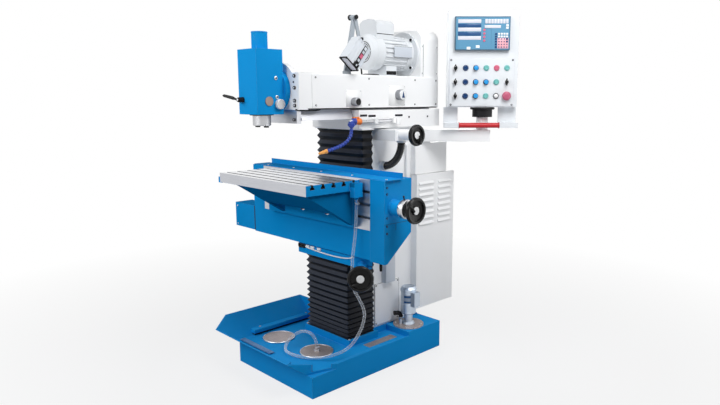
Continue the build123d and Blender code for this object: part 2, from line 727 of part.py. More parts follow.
knee = block(-knee_half, knee_half, KNEE_FRONT, KNEE_BACK, KNEE_LOW, KNEE_TOP)
for side in (-1, 1):
    x0, x1 = sorted((side * (way_half + KNEE_CLEAR), side * knee_half))
    knee = knee + block(x0, x1, KNEE_BACK, WAY_BACK + 2, KNEE_LOW, KNEE_TOP)
    x0, x1 = sorted((side * (neck_half + 3), side * knee_half))
    knee = knee + block(x0, x1, WAY_BACK + 2, COLUMN_FRONT - 3, KNEE_LOW, KNEE_TOP)
for low in RAIL_LOWS:
    knee = knee + block(-knee_half, knee_half, KNEE_FRONT - RAIL_PROUD, KNEE_FRONT, low, low + RAIL_H)
knee = knee + block(-block_half, block_half, FOOT_FRONT, KNEE_BACK, KNEE_BLOCK_LOW, KNEE_LOW)
knee = knee - rod((0, SCREW_Y, 0), UP, SCREW_R + SCREW_CLEAR, FAR)
save(knee, "knee")

lift_right = block_half + LIFT_W
lift_front = LIFT_REAR - LIFT_D
lift_low = KNEE_LOW - LIFT_H
lift_plan = (
    (block_half, LIFT_REAR), (lift_right, LIFT_REAR), (lift_right, lift_front + LIFT_BEVEL),
    (lift_right - LIFT_BEVEL, lift_front), (block_half, lift_front),
)
lift_axis = Vector(*DIAGONAL).normalized()
lift_face = Vector(lift_right - LIFT_BEVEL / 2, lift_front + LIFT_BEVEL / 2, KNEE_LOW - 44)
Z_WHEEL = tuple(lift_face + lift_axis * Z_WHEEL_REACH)
CLIP_AT = (lift_right - 2, lift_front - 63, lift_low + 4)
lift_box = along_z(lift_plan, lift_low, KNEE_LOW)
lift_box = lift_box + rod(tuple(lift_face - lift_axis * 20), DIAGONAL, SHAFT_R + 14, LIFT_BOSS_L + 20)
clip_x, clip_y, clip_z = CLIP_AT
lift_box = lift_box + block(clip_x - 6, clip_x + 6, clip_y, lift_front + 60, clip_z, clip_z + 10)
lift_box = lift_box + rod(CLIP_AT, UP, DRAIN_R + 5, 10)
lift_box = lift_box - rod((clip_x, clip_y, clip_z - FUSE), UP, DRAIN_R + TURN_GAP, 12)
lift_box = lift_box - rod(tuple(lift_face - lift_axis * 40), DIAGONAL, SHAFT_R + RUN_FIT, LIFT_BOSS_L + 45)
save(lift_box, "lift_box")
save(handwheel(Z_WHEEL, DIAGONAL, WHEEL_R, Z_WHEEL_REACH + 35, sleeve(10)), "handwheel_lift")


# Vertical table: three T-slots in its ground face, rails' grooves in its back.

def slot_x(centre, x0, x1):
    """A T-slot along X in a face that looks along -Y."""
    deep = VERT_FACE + SLOT_THROAT
    throat = block(x0, x1, VERT_FACE - FUSE, deep, centre - SLOT_W / 2, centre + SLOT_W / 2)
    return throat + block(x0, x1, deep, deep + SLOT_HEAD, centre - SLOT_HEAD_W / 2, centre + SLOT_HEAD_W / 2)


skin_y = VERT_FACE + VERT_PAD_T
pad_left = VERT_LEFT + VERT_PAD_INSET
slot_mid = (PAD_LOW + VERT_TOP) / 2
vertical = block(VERT_LEFT, VERT_RIGHT, skin_y, VERT_BACK, VERT_LOW, VERT_TOP)
vertical = vertical + block(pad_left, VERT_RIGHT, VERT_FACE, skin_y, PAD_LOW, VERT_TOP)
for i in (-1, 0, 1):
    vertical = vertical - slot_x(slot_mid + i * SLOT_PITCH, pad_left - 30, VERT_RIGHT + FUSE)
for low in RAIL_LOWS:
    groove_y = KNEE_FRONT - RAIL_PROUD - SLIDE_GAP
    vertical = vertical - block(-FAR, FAR, groove_y, FAR, low - SLIDE_GAP, low + RAIL_H + SLIDE_GAP)
vertical = vertical - rod((-FAR, FEED_Y, FEED_Z), RIGHT, FEED_BORE_R, 2 * FAR)
pocket_low = RAIL_LOWS[0] + RAIL_H + 20
pocket_top = FEED_Z - FEED_BORE_R - 24
vertical = vertical - block(VERT_LEFT + 30, VERT_RIGHT - 30, VERT_BACK - 49, FAR, pocket_low, pocket_top)

cover_low = VERT_LOW + 5
cover_top = PAD_LOW + 2
cover_rear = VERT_BACK + 30
wall = SCREW_COVER_WALL
screw_cover = block(VERT_LEFT - SCREW_COVER_L, VERT_LEFT, skin_y, cover_rear, cover_low, cover_top)
screw_cover = screw_cover - block(
    VERT_LEFT - SCREW_COVER_L + wall, VERT_LEFT + FUSE, skin_y + wall, cover_rear - wall, cover_low + wall,
    cover_top - wall,
)
save(Compound(children=[vertical, screw_cover]), "vertical_table")


bracket_low = VERT_LOW - 5
bracket_knee = VERT_FACE + 22
bracket_slope = BRACKET_BEVEL / (BRACKET_REAR - bracket_knee)
bracket_lean = math.hypot(1, bracket_slope)


def bracket_outline(inset):
    """The end bracket's side outline in (y, z), or its inner outline with an inset."""
    front, rear = skin_y + inset, BRACKET_REAR - inset
    low, top = bracket_low + inset, VERT_TOP - inset
    lift = inset * bracket_lean
    bend = bracket_knee + (inset - lift) / bracket_slope if inset else bracket_knee
    shoulder = bracket_low + bracket_slope * (rear - bracket_knee) + lift
    return (front, low), (bend, low), (rear, shoulder), (rear, top), (front, top)


X_WHEEL = (BRACKET_RIGHT + X_WHEEL_REACH, FEED_Y, FEED_Z)
bracket = along_x(bracket_outline(0), VERT_RIGHT, BRACKET_RIGHT)
bracket = bracket - along_x(bracket_outline(BRACKET_WALL), VERT_RIGHT - FUSE, BRACKET_RIGHT - BRACKET_WALL)
bracket = bracket + rod((BRACKET_RIGHT, FEED_Y, FEED_Z), RIGHT, BOSS_R, BOSS_L)
bracket = bracket - rod((BRACKET_RIGHT - 30, FEED_Y, FEED_Z), RIGHT, SHAFT_R + RUN_FIT, BOSS_L + 40)
bracket_heads = [(BRACKET_RIGHT, skin_y + 18, VERT_TOP - drop) for drop in (33, 63, 178, 218, 253)]
save(with_heads(bracket, bracket_heads, RIGHT, 5, 3), "end_bracket")
dial_start = BOSS_L + 3 - X_WHEEL_REACH
dial = (
    (SHAFT_R, dial_start), (BOSS_R + 7, dial_start), (BOSS_R + 10, dial_start + 4),
    (BOSS_R + 10, dial_start + 26), (WHEEL_HUB, dial_start + 32),
)
save(handwheel(X_WHEEL, RIGHT, WHEEL_R, X_WHEEL[0] - VERT_LEFT - 40, dial), "handwheel_long")

guard_right = BRACKET_RIGHT + 13
wall_y = VERT_BACK + 24
guard_top = VERT_TOP + GUARD_T
guard = block(VERT_LEFT, guard_right, VERT_FACE + 11, wall_y, VERT_TOP, guard_top)
guard = guard + block(VERT_LEFT + 32, guard_right, wall_y - GUARD_T, wall_y, VERT_TOP, VERT_TOP + GUARD_H)
guard_heads = [(BRACKET_RIGHT - 10 - 240 * i, VERT_FACE + 27, guard_top) for i in range(5)]
save(with_heads(guard, guard_heads, UP, 5, 3), "chip_guard")

# Work table: a slotted plate on a flange with gussets and an apron, bolted to the vertical table.

table_front = VERT_FACE - TABLE_DEPTH
plate_low = TABLE_TOP - TABLE_T
throat_low = TABLE_TOP - SLOT_THROAT
table = block(TABLE_LEFT, TABLE_RIGHT, table_front, VERT_FACE, plate_low, TABLE_TOP)
for i in range(5):
    y = table_front + TABLE_DEPTH / 2 + (i - 2) * SLOT_PITCH
    head_half_w = SLOT_HEAD_W / 2
    table = table - block(-FAR, FAR, y - SLOT_W / 2, y + SLOT_W / 2, throat_low, FAR)
    table = table - block(-FAR, FAR, y - head_half_w, y + head_half_w, throat_low - SLOT_HEAD, throat_low)
flange_y = VERT_FACE - TABLE_FLANGE_T
table = table + block(TABLE_LEFT + 14, TABLE_RIGHT - 14, flange_y, VERT_FACE, PAD_LOW + 7, plate_low)
toe_y = table_front + 11
foot_z = PAD_LOW + 17
gusset = ((toe_y, plate_low), (flange_y, plate_low), (flange_y, foot_z))
for x in GUSSET_SPOTS:
    table = table + along_x(gusset, x, x + GUSSET_T)
fall = Vector(0, flange_y - toe_y, foot_z - plate_low)
down = fall.normalized()
edge = Vector(0, toe_y, plate_low) + fall * APRON_SHARE
apron = (
    (toe_y, plate_low), (edge.Y, edge.Z), (edge.Y - down.Z * APRON_T, edge.Z + down.Y * APRON_T),
    (toe_y - APRON_T / down.Z, plate_low),
)
table = table + along_x(apron, GUSSET_SPOTS[0] + GUSSET_T, GUSSET_SPOTS[1])
trough_top = throat_low - SLOT_HEAD - 3
trough_low = trough_top - TROUGH_H
trough = block(TABLE_LEFT - TROUGH_W, TABLE_LEFT, toe_y, flange_y, trough_low, trough_top)
table = table + trough - block(
    TABLE_LEFT - TROUGH_W + TROUGH_WALL, TABLE_LEFT, toe_y + TROUGH_WALL, flange_y - TROUGH_WALL,
    trough_low + TROUGH_WALL, trough_top,
)
bolts = [(x, flange_y, slot_mid + z) for x in BOLT_SPOTS for z in (-SLOT_PITCH, 0)]
table = with_heads(table, bolts, FRONT, 11, 13)
SPOUT_AT = (TABLE_RIGHT + 17, VERT_FACE - 35)
spout_low = TABLE_TOP - 80
spout_x, spout_y = SPOUT_AT
spout = block(TABLE_RIGHT, spout_x + 17, spout_y - 26, spout_y + 26, spout_low, TABLE_TOP - 10)
spout = spout - block(TABLE_RIGHT + 5, spout_x + 12, spout_y - 21, spout_y + 21, spout_low + 10, FAR)
spout_foot = (*SPOUT_AT, spout_low)
table = table + spout + rod(spout_foot, DOWN, DRAIN_R + 3, 10) + rod(spout_foot, DOWN, spigot, 60)
save(table, "work_table")

DRAIN_TOP = (
    (303, -166, 916), (303, -166, 880), (302, -168, 818), (300, -171, 750), (295, -177, 684),
    (290, -185, 620), (290, -185, 530),
)
save(tube(DRAIN_TOP, DRAIN_R, DRAIN_BORE), "drain_hose_top")
DRAIN_LOW = (
    (290, -185, 530), (290, -185, 480), (322, -164, 420), (346, -152, 360), (345, -165, 300),
    (332, -192, 238), (308, -228, 184), (262, -282, 149), (196, -340, 133), (112, -388, 128.5),
    (26, -400, 132), (-4, -386, 142), (-22, -360, 158), (-24, -330, 178), (-8, -304, 198),
    (24, -290, 214), (60, -281, 215), (88, -272, 199), (104, -267, 171), (104, -267, 136),
)
save(tube(DRAIN_LOW, DRAIN_R, DRAIN_BORE), "drain_hose_low")

# Ram: a hollow slide with the spindle drive, its side cover, nose and dovetail.

ram_room = ram_half - RAM_WALL
belt_y = RAM_REAR - 26 - DRIVE_WALL
ram = block(-ram_half, ram_half, RAM_FRONT, RAM_REAR, RAM_LOW, RAM_TOP)
ram = ram - block(
    -ram_room, ram_room, RAM_FRONT + RAM_WALL, RAM_REAR - RAM_WALL, RAM_LOW + RAM_WALL, RAM_TOP - RAM_WALL
)
ram = ram - block(-60, 60, belt_y - 110, belt_y, RAM_TOP - RAM_WALL - FUSE, RAM_TOP + FUSE)
dovetail = (
    (-DOVETAIL_FOOT, DOVETAIL_LOW), (DOVETAIL_FOOT, DOVETAIL_LOW),
    (DOVETAIL_NECK, RAM_LOW), (-DOVETAIL_NECK, RAM_LOW),
)
ram = ram + along_y(dovetail, RAM_FRONT, RAM_REAR - 36)
ram = ram + block(-ram_half, ram_half, NOSE_FRONT, RAM_FRONT, RAM_LOW, RAM_TOP)
ram = ram + rod((0, NOSE_FRONT, SWIVEL_Z - 13), BACK, RAM_NOSE_R, RAM_NOSE_T)
ram = ram + block(-RAM_NOSE_R + 3, RAM_NOSE_R - 3, NOSE_FRONT, RAM_FRONT, RAM_LOW - RAM_CHIN, RAM_LOW)
ram = ram - rod((0, NOSE_FRONT - FUSE, SWIVEL_Z), BACK, SPIGOT_R + RUN_FIT, SPIGOT_L + 20)
ram = ram + block(ram_half, RAM_SIDE, RAM_FRONT + 50, RAM_REAR - 6, RAM_LOW + 6, RAM_TOP - 6)
speed_spot = (RAM_SIDE, SPEED_KNOB_AT[0], RAM_LOW + SPEED_KNOB_AT[1])
range_spot = (RAM_SIDE, RANGE_KNOB_AT[0], RAM_LOW + RANGE_KNOB_AT[1])
for spot in (speed_spot, range_spot):
    ram = ram - rod((spot[0] - 25, *spot[1:]), RIGHT, KNOB_PIN_R + RUN_FIT, 30)
cover_ys = (RAM_FRONT + 71, RAM_FRONT + 416, RAM_REAR - 196, RAM_REAR - 21)
ram_heads = [(RAM_SIDE, y, z) for y in cover_ys for z in (RAM_LOW + 20, RAM_TOP - 20)]
ram = with_heads(ram, ram_heads, RIGHT, 4, 2)
nose_heads = [(ram_half - 31, NOSE_FRONT, SWIVEL_Z + rise) for rise in (64, 10, -49, -71)]
nose_heads.append((RAM_NOSE_R - 21, NOSE_FRONT, RAM_LOW - 46))
save(with_heads(ram, nose_heads, FRONT, 8, 6), "ram")

motor_z = RAM_TOP + MOTOR_RISE
body_r = MOTOR_R - 5
flange_at = MOTOR_L - MOTOR_FLANGE_T
shield = flange_at - 36
motor_profile = (
    (0, -9), (MOTOR_R - 33, -9), (MOTOR_R - 15, 0), (body_r, 10), (MOTOR_R, 14), (MOTOR_R, 70), (body_r, 74),
    (body_r, shield - 4), (MOTOR_R, shield), (MOTOR_R, flange_at), (MOTOR_FLANGE_R, flange_at),
    (MOTOR_FLANGE_R, MOTOR_L), (0, MOTOR_L),
)
motor = turned(motor_profile, (MOTOR_X, MOTOR_FRONT, motor_z), BACK)
fin = block(-1.5, 1.5, MOTOR_FRONT + 76, MOTOR_FRONT + shield - 6, body_r - 2, MOTOR_R + 2)
for i in range(MOTOR_FINS):
    motor = motor + Pos(MOTOR_X, 0, motor_z) * Rot(0, 360 / MOTOR_FINS * i, 0) * fin
foot_y = MOTOR_FRONT + 90
motor = motor + block(MOTOR_X - 70, MOTOR_X + 70, foot_y, foot_y + 80, RAM_TOP, motor_z - MOTOR_R + 23)
dome_low = motor_z + 40
dome_top = motor_z + body_r + 84
dome = [
    (MOTOR_X + x, z) for x, z in (
        (-65, dome_low), (65, dome_low), (65, dome_top - 22), (42, dome_top - 6), (0, dome_top),
        (-42, dome_top - 6), (-65, dome_top - 22),
    )
]
motor = motor + along_y(dome, MOTOR_FRONT + 25, MOTOR_FRONT + 155)
bolt = (MOTOR_FLANGE_R - 14) * math.sqrt(0.5)
flange_heads = [
    (MOTOR_X + side * bolt, MOTOR_FRONT + flange_at, motor_z + rise * bolt)
    for side in (-1, 1) for rise in (-1, 1)
]
save(with_heads(motor, flange_heads, FRONT, 9, 7), "motor")

drive_front = MOTOR_FRONT + MOTOR_L
drive_rear = drive_front + DRIVE_D
drive_half = DRIVE_W / 2
drive_mid = RAM_TOP + DRIVE_H / 2
drive_plane = Plane(origin=(0, drive_rear, drive_mid), x_dir=RIGHT, z_dir=FRONT)
drive_cover = extrude(drive_plane * RectangleRounded(DRIVE_W, DRIVE_H, DRIVE_ROUND), DRIVE_D)
drive_cover = drive_cover + block(-drive_half, drive_half, drive_front, drive_rear, RAM_TOP, drive_mid)
drive_room = drive_half - DRIVE_WALL
drive_cover = drive_cover - block(
    -drive_room, drive_room, drive_front + DRIVE_WALL, drive_rear - DRIVE_WALL, RAM_TOP - FUSE,
    RAM_TOP + DRIVE_H - DRIVE_ROUND,
)
save(drive_cover, "drive_cover")


def knob(origin, radius, length):
    """A turned knob on a short spindle, looking along +X."""
    profile = (
        (0, -20), (KNOB_PIN_R, -20), (KNOB_PIN_R, TURN_GAP), (radius, TURN_GAP), (radius, length - 3),
        (radius - 3, length), (0, length),
    )
    return turned(profile, origin, RIGHT)


RANGE_KNOB_R = 27.5
RANGE_KNOB_L = 34.0
save(knob(speed_spot, 21, 35), "speed_knob")
tip_x, tip_y, tip_z = range_spot[0] + RANGE_KNOB_L, range_spot[1], range_spot[2]
pointer = ((tip_y - 10, tip_z - 14), (tip_y + 10, tip_z - 14), (tip_y, tip_z + 18))
save(knob(range_spot, RANGE_KNOB_R, RANGE_KNOB_L) + along_x(pointer, tip_x, tip_x + 2), "range_knob")

# Work light: a swivelling stem, a folded arm and a tilting lamp.

stem_x, stem_y = STEM_AT
stem_low = RAM_TOP + TURN_GAP
ELBOW = (stem_y + STEM_LEAN, stem_low + STEM_H)
LAMP_PIVOT = (ELBOW[0] + LAMP_ARM_LEAN, ELBOW[1] - LAMP_ARM_DROP)
stem_right = stem_x + STEM_T / 2
arm_left = stem_right + LINK_GAP
arm_right = arm_left + LAMP_ARM_T
lug_left = arm_right + LINK_GAP
lug_right = lug_left + 14
stem_top = stem_low + STEM_BASE_H
stem_side = (
    (stem_y - 18, stem_top), (stem_y + 18, stem_top), (ELBOW[0] + 10, ELBOW[1] - 6),
    (ELBOW[0] + 6, ELBOW[1] + 10), (ELBOW[0] - 6, ELBOW[1] + 10), (ELBOW[0] - 12, ELBOW[1] - 6),
)
stem = rod((stem_x, stem_y, stem_low), UP, STEM_BASE_R, STEM_BASE_H)
stem = stem + along_x(stem_side, stem_right - STEM_T, stem_right)
stem = stem + rod((stem_right - STEM_T - 15, *ELBOW), RIGHT, PIN_R + 5, 15)
stem = stem + rod((stem_right, *ELBOW), RIGHT, PIN_R, LAMP_ARM_T + LINK_GAP + 4)
save(stem, "lamp_stem")


def link(x0, x1, a, b, half):
    """A flat link between two points in the YZ plane."""
    ya, za = a
    yb, zb = b
    length = math.hypot(yb - ya, zb - za)
    ny, nz = -(zb - za) / length * half, (yb - ya) / length * half
    outline = ((ya + ny, za + nz), (yb + ny, zb + nz), (yb - ny, zb - nz), (ya - ny, za - nz))
    bar = along_x(outline, x0, x1)
    return bar + rod((x0, ya, za), RIGHT, half, x1 - x0) + rod((x0, yb, zb), RIGHT, half, x1 - x0)


pin_hole = PIN_R + RUN_FIT
lamp_arm = link(arm_left, arm_right, ELBOW, LAMP_PIVOT, PIN_R + 4)
lamp_arm = lamp_arm - rod((arm_left - FUSE, *ELBOW), RIGHT, pin_hole, LAMP_ARM_T + 2 * FUSE)
lamp_arm = lamp_arm + rod((arm_right, *LAMP_PIVOT), RIGHT, PIN_R, lug_right - arm_right)
save(lamp_arm, "lamp_arm")

lamp_dip = math.radians(LAMP_DIP)
aim_y, aim_z = -math.cos(lamp_dip), -math.sin(lamp_dip)
pivot_y, pivot_z = LAMP_PIVOT
lamp_at = (lug_right - 4 + LAMP_W / 2, pivot_y - LAMP_AHEAD, pivot_z - LAMP_DROP)
lamp_frame = Plane(origin=lamp_at, x_dir=RIGHT, z_dir=(0, aim_y, aim_z))
lamp = lamp_frame * Box(LAMP_W, LAMP_D, LAMP_L)
rib_pitch = (LAMP_D - 24) / (LAMP_RIBS - 1)
for i in range(LAMP_RIBS):
    cut = Box(LAMP_W + 2 * FUSE, 7, 20)
    lamp = lamp - lamp_frame * Pos(0, -LAMP_D / 2 + 12 + rib_pitch * i, -LAMP_L / 2 + 5) * cut
lamp = lamp - lamp_frame * Pos(0, 0, LAMP_L / 2 - 2) * Box(LAMP_W - 12, LAMP_D - 12, 8)
lug_foot = (pivot_y + aim_y * 45, pivot_z + aim_z * 45)
lamp = lamp + link(lug_left, lug_right, LAMP_PIVOT, lug_foot, PIN_R + 5)
lamp = lamp - rod((lug_left - FUSE, *LAMP_PIVOT), RIGHT, pin_hole, 14 + 2 * FUSE)
save(lamp, "lamp_head")

# Milling head: it swivels on the ram's nose. The quill slides in it and the spindle turns in the quill.

lever_at = (-head_half + 35, HEAD_FRONT, HEAD_LOW + 67)
knob_at = (head_half, HEAD_BACK - 25, HEAD_LOW + 47)
head = block(-head_half, head_half, HEAD_FRONT, HEAD_BACK, HEAD_LOW, HEAD_TOP)
head = head + rod((0, HEAD_BACK, SWIVEL_Z), BACK, SWIVEL_R, HEAD_GAP - TURN_GAP)
head = head + rod((0, HEAD_BACK, SWIVEL_Z), BACK, SPIGOT_R, HEAD_GAP + SPIGOT_L)
head = head + rod((0, SPINDLE_Y, HEAD_TOP), UP, CAP_R, CAP_H)
head = head - rod((0, SPINDLE_Y, HEAD_LOW - FUSE), UP, QUILL_R + RUN_FIT, HEAD_H - HEAD_ROOF + FUSE)
head = head - rod((0, SPINDLE_Y, HEAD_LOW), UP, SPINDLE_R + 2, HEAD_H + CAP_H - 15)
head = head - rod((lever_at[0], HEAD_FRONT - FUSE, lever_at[2]), BACK, KNOB_PIN_R + RUN_FIT, 16 + FUSE)
head = head - rod((head_half - 22, *knob_at[1:]), RIGHT, KNOB_PIN_R + RUN_FIT, 25)
head = head + rod((head_half, HEAD_FRONT + 64, HEAD_LOW + 60), RIGHT, 21, 3)
for y, z in ((HEAD_BACK - 40, HEAD_LOW + 165), (HEAD_BACK - 36, HEAD_LOW + 79)):
    head = head + rod((head_half, y, z), RIGHT, 8, 2) - rod((head_half - 3, y, z), RIGHT, 4, 8)
save(head, "head")

quill_low = HEAD_LOW - 1
quill = rod((0, SPINDLE_Y, quill_low), UP, QUILL_R, QUILL_L)
save(quill - rod((0, SPINDLE_Y, quill_low - FUSE), UP, SPINDLE_R + RUN_FIT, QUILL_L + 2 * FUSE), "quill")
nose_low = quill_low - SPINDLE_NOSE_H
nose_top = SPINDLE_NOSE_H - 0.5
spindle_profile = (
    (TAPER_R, 0), (SPINDLE_NOSE_R - 3, 0), (SPINDLE_NOSE_R, 4), (SPINDLE_NOSE_R, nose_top),
    (SPINDLE_R, nose_top), (SPINDLE_R, SPINDLE_L - 90), (SPINDLE_R - 4, SPINDLE_L - 80),
    (SPINDLE_R - 4, SPINDLE_L), (DRAWBAR_R, SPINDLE_L), (DRAWBAR_R, TAPER_L),
)
spindle = turned(spindle_profile, (0, SPINDLE_Y, nose_low), UP)
for side in (-1, 1):
    x0, x1 = sorted((side * (TAPER_R + 4), side * (SPINDLE_NOSE_R + 2)))
    spindle = spindle + block(x0, x1, SPINDLE_Y - 8, SPINDLE_Y + 8, nose_low - 8, nose_low + 12)
save(spindle, "spindle")

lever_root = (lever_at[0], HEAD_FRONT - 20, lever_at[2])
lever_aim = (-1, -0.1, 0.16)
lever = rod((lever_at[0], HEAD_FRONT + 14, lever_at[2]), FRONT, KNOB_PIN_R, 16)
lever = lever + rod((lever_at[0], HEAD_FRONT - TURN_GAP, lever_at[2]), FRONT, 13, 30)
lever = lever + rod(lever_root, lever_aim, 5, 70)
lever = lever + Plane(origin=lever_root, z_dir=lever_aim) * Pos(0, 0, 92) * Cylinder(9, 60)
save(lever, "head_lever")
save(knob(knob_at, 23, 18), "head_knob")

# Pendant: an arm, a box on a swivel, a readout, a handle and the controls.

facing = Vector(*DIAGONAL).normalized()
across = Vector(1, 1, 0).normalized()
swivel = Vector(*ARM_ROOT, 0) + across * ARM_REACH
half_u = PENDANT_W / 2
half_v = PENDANT_H / 2
pendant_low = ARM_TOP + PENDANT_LIFT
pendant_at = swivel + across * PENDANT_SIDE + facing * (PENDANT_D / 2) + Vector(*UP) * (pendant_low + half_v)
pendant_frame = Plane(origin=tuple(pendant_at), x_dir=tuple(across), z_dir=tuple(facing))
arm_frame = Plane(origin=(swivel.X, swivel.Y, (ARM_LOW + ARM_TOP) / 2), x_dir=tuple(across), z_dir=UP)
arm_end = 42.0
arm_l = ARM_REACH + arm_end
arm_place = arm_frame * Pos(arm_end - arm_l / 2, 0, 0)
arm = arm_place * Box(arm_l, ARM_W, ARM_H)
arm = arm - arm_place * Box(arm_l - 2 * ARM_SHEET, ARM_W - 2 * ARM_SHEET, ARM_H - 2 * ARM_SHEET)
root_x, root_y = ARM_ROOT
arm = arm + block(root_x - 81, root_x + 24, root_y - 30, root_y + 80, REAR_BOX_TOP, ARM_LOW)
post_foot = (swivel.X, swivel.Y, ARM_TOP)
arm = arm + rod(post_foot, UP, POST_R, POST_H) + rod(post_foot, UP, PIVOT_R, POST_H + 40)
save(arm, "pendant_arm")


def panel_block(u0, u1, v0, v1, w0, w1):
    """A block in the pendant's own frame: across, up and out."""
    return pendant_frame * Pos((u0 + u1) / 2, (v0 + v1) / 2, (w0 + w1) / 2) * Box(u1 - u0, v1 - v0, w1 - w0)


def panel_rod(u, v, w, radius, length):
    """A round bar that looks out of the pendant's face."""
    upward = (Align.CENTER, Align.CENTER, Align.MIN)
    return pendant_frame * Pos(u, v, w) * Cylinder(radius, length, align=upward)


sheet = PENDANT_SHEET
bezel_top = PANEL_T + BEZEL_T
panel_u = (-half_u + 9, half_u - 21)
panel_v = (-half_v + 6, 5)
pendant = panel_block(-half_u, half_u, -half_v, half_v, -PENDANT_D, 0)
pendant = pendant - panel_block(
    -half_u + sheet, half_u - sheet, -half_v + sheet, half_v - sheet, -PENDANT_D + sheet, -sheet
)
pendant = pendant + panel_block(*panel_u, *panel_v, 0, PANEL_T)
first_u, first_v = CONTROL_FIRST
spots = [(first_u + c * CONTROL_PITCH_U, first_v - r * CONTROL_PITCH_V) for r in range(3) for c in range(6)]
for i, (u, v) in enumerate(spots):
    pendant = pendant + panel_rod(u, v, PANEL_T, BEZEL_R, BEZEL_T)
    if i == SIGNAL_SPOT:
        pendant = pendant + panel_rod(u, v, PANEL_T, BUTTON_R, BEZEL_T + 5)
    else:
        pendant = pendant - panel_rod(u, v, -sheet - FUSE, BUTTON_R + TURN_GAP, sheet + bezel_top + 2 * FUSE)
bar_v = -half_v - 98
ear_us = ((-half_u - 17, -half_u + 62), (half_u - 94, half_u + 6))
for u0, u1 in ear_us:
    pendant = pendant + panel_block(u0, u1, bar_v - BAR_R, -half_v, -50, -44)
    pendant = pendant + panel_block(u0, u1, bar_v - BAR_R, bar_v + BAR_R, -50, 22)
for u in (panel_u[0] + 8, panel_u[1] - 8):
    for v in (panel_v[0] + 8, panel_v[1] - 9):
        pendant = pendant + panel_rod(u, v, PANEL_T, 4, 2)
save(pendant, "pendant_box")

collar_low = ARM_TOP + POST_H + TURN_GAP
collar = rod((swivel.X, swivel.Y, collar_low), UP, COLLAR_R, pendant_low - collar_low)
save(collar - rod(post_foot, UP, PIVOT_R + RUN_FIT, POST_H + 41), "pendant_collar")

readout_u = (-half_u + 35, -half_u + 35 + READOUT_W)
readout_v = (half_v - 35 - READOUT_H, half_v - 35)
readout = panel_block(*readout_u, *readout_v, 0, READOUT_T)
screen = panel_block(
    readout_u[0] + 12, readout_u[1] - 100, readout_v[0] + 17, readout_v[1] - 14, READOUT_T - 2,
    READOUT_T + FUSE,
)
save(readout - screen, "readout")
bar_l = ear_us[1][0] - ear_us[0][1]
bar_u = (ear_us[1][0] + ear_us[0][1]) / 2
save(pendant_frame * Pos(bar_u, bar_v, 22 - BAR_R) * Rot(0, 90, 0) * Cylinder(BAR_R, bar_l), "pendant_handle")


def push_button(u, v):
    """A button that slides through its bezel."""
    return panel_rod(u, v, -BUTTON_TAIL, BUTTON_R, BUTTON_TAIL + bezel_top + BUTTON_PROUD)


def mushroom(u, v):
    """A stop button with a wide head clear of its bezel."""
    head_low = bezel_top + STOP_TRAVEL
    stem = panel_rod(u, v, -BUTTON_TAIL, BUTTON_R, BUTTON_TAIL + head_low + FUSE)
    return stem + panel_rod(u, v, head_low, STOP_R, STOP_H)


def selector(u, v):
    """A turning switch with a raised pointer bar."""
    knob_top = bezel_top + 2
    bar = panel_block(u - 4, u + 4, v - 10, v + 10, knob_top - FUSE, knob_top + 11)
    return panel_rod(u, v, -BUTTON_TAIL, BUTTON_R, BUTTON_TAIL + knob_top) + bar


CONTROLS = (
    "selector_a", "button_a", "button_d", "button_g", "button_j", "button_m",
    "selector_b", "button_b", "button_e", "button_h", "button_k", "selector_d",
    "selector_c", "button_c", "button_f", "button_i", "signal", "stop_button",
)
MAKERS = {"selector": selector, "button": push_button, "stop": mushroom}
for (u, v), name in zip(spots, CONTROLS):
    kind = name.split("_")[0]
    if kind in MAKERS:
        save(MAKERS[kind](u, v), name)
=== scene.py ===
import json
import math

import bmesh
import bpy
from bpy.props import FloatProperty, FloatVectorProperty, IntProperty, PointerProperty
from mathutils import Matrix, Vector


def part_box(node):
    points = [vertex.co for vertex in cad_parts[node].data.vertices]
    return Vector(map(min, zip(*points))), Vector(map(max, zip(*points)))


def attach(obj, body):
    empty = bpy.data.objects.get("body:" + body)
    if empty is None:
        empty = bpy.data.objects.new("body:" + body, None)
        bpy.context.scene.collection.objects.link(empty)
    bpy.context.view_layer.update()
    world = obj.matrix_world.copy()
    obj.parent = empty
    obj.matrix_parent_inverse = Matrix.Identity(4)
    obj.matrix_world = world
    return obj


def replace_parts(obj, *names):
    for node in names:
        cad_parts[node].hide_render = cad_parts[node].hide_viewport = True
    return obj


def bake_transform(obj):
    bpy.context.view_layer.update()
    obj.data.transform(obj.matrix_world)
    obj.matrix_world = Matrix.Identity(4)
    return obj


bl_info = {
    "name": "Tool milling machine",
    "version": (1, 0, 0),
    "blender": (4, 5, 0),
    "location": "3D View > Sidebar > Milling machine",
    "description": "Finishes, hoses, way covers and fine pieces of a universal tool milling machine",
    "category": "Object",
}

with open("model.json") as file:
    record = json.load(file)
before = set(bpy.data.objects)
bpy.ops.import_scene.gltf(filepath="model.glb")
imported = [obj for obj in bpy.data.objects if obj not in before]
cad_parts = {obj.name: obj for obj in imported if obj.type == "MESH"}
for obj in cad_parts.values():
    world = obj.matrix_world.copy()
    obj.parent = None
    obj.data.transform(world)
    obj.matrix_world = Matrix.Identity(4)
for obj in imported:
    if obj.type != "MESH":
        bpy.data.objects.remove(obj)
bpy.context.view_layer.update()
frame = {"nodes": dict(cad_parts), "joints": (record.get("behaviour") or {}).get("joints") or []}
NODES = frame["nodes"]
JOINTS = {joint["name"]: joint for joint in frame["joints"]}
MM = 0.001
FULL_TURN = 2 * math.pi
HERE = Matrix()
WHITE = (1.0, 1.0, 1.0)
RIGHT, LEFT, REAR, FRONT = (1, 0, 0), (-1, 0, 0), (0, 1, 0), (0, -1, 0)
UP, DOWN = (0, 0, 1), (0, 0, -1)


def tint(*rgb):
    """A screen colour, each part from 0 to 255, as linear light."""
    parts = (c / 255 for c in rgb)
    return tuple(c / 12.92 if c <= 0.04045 else ((c + 0.055) / 1.055) ** 2.4 for c in parts)


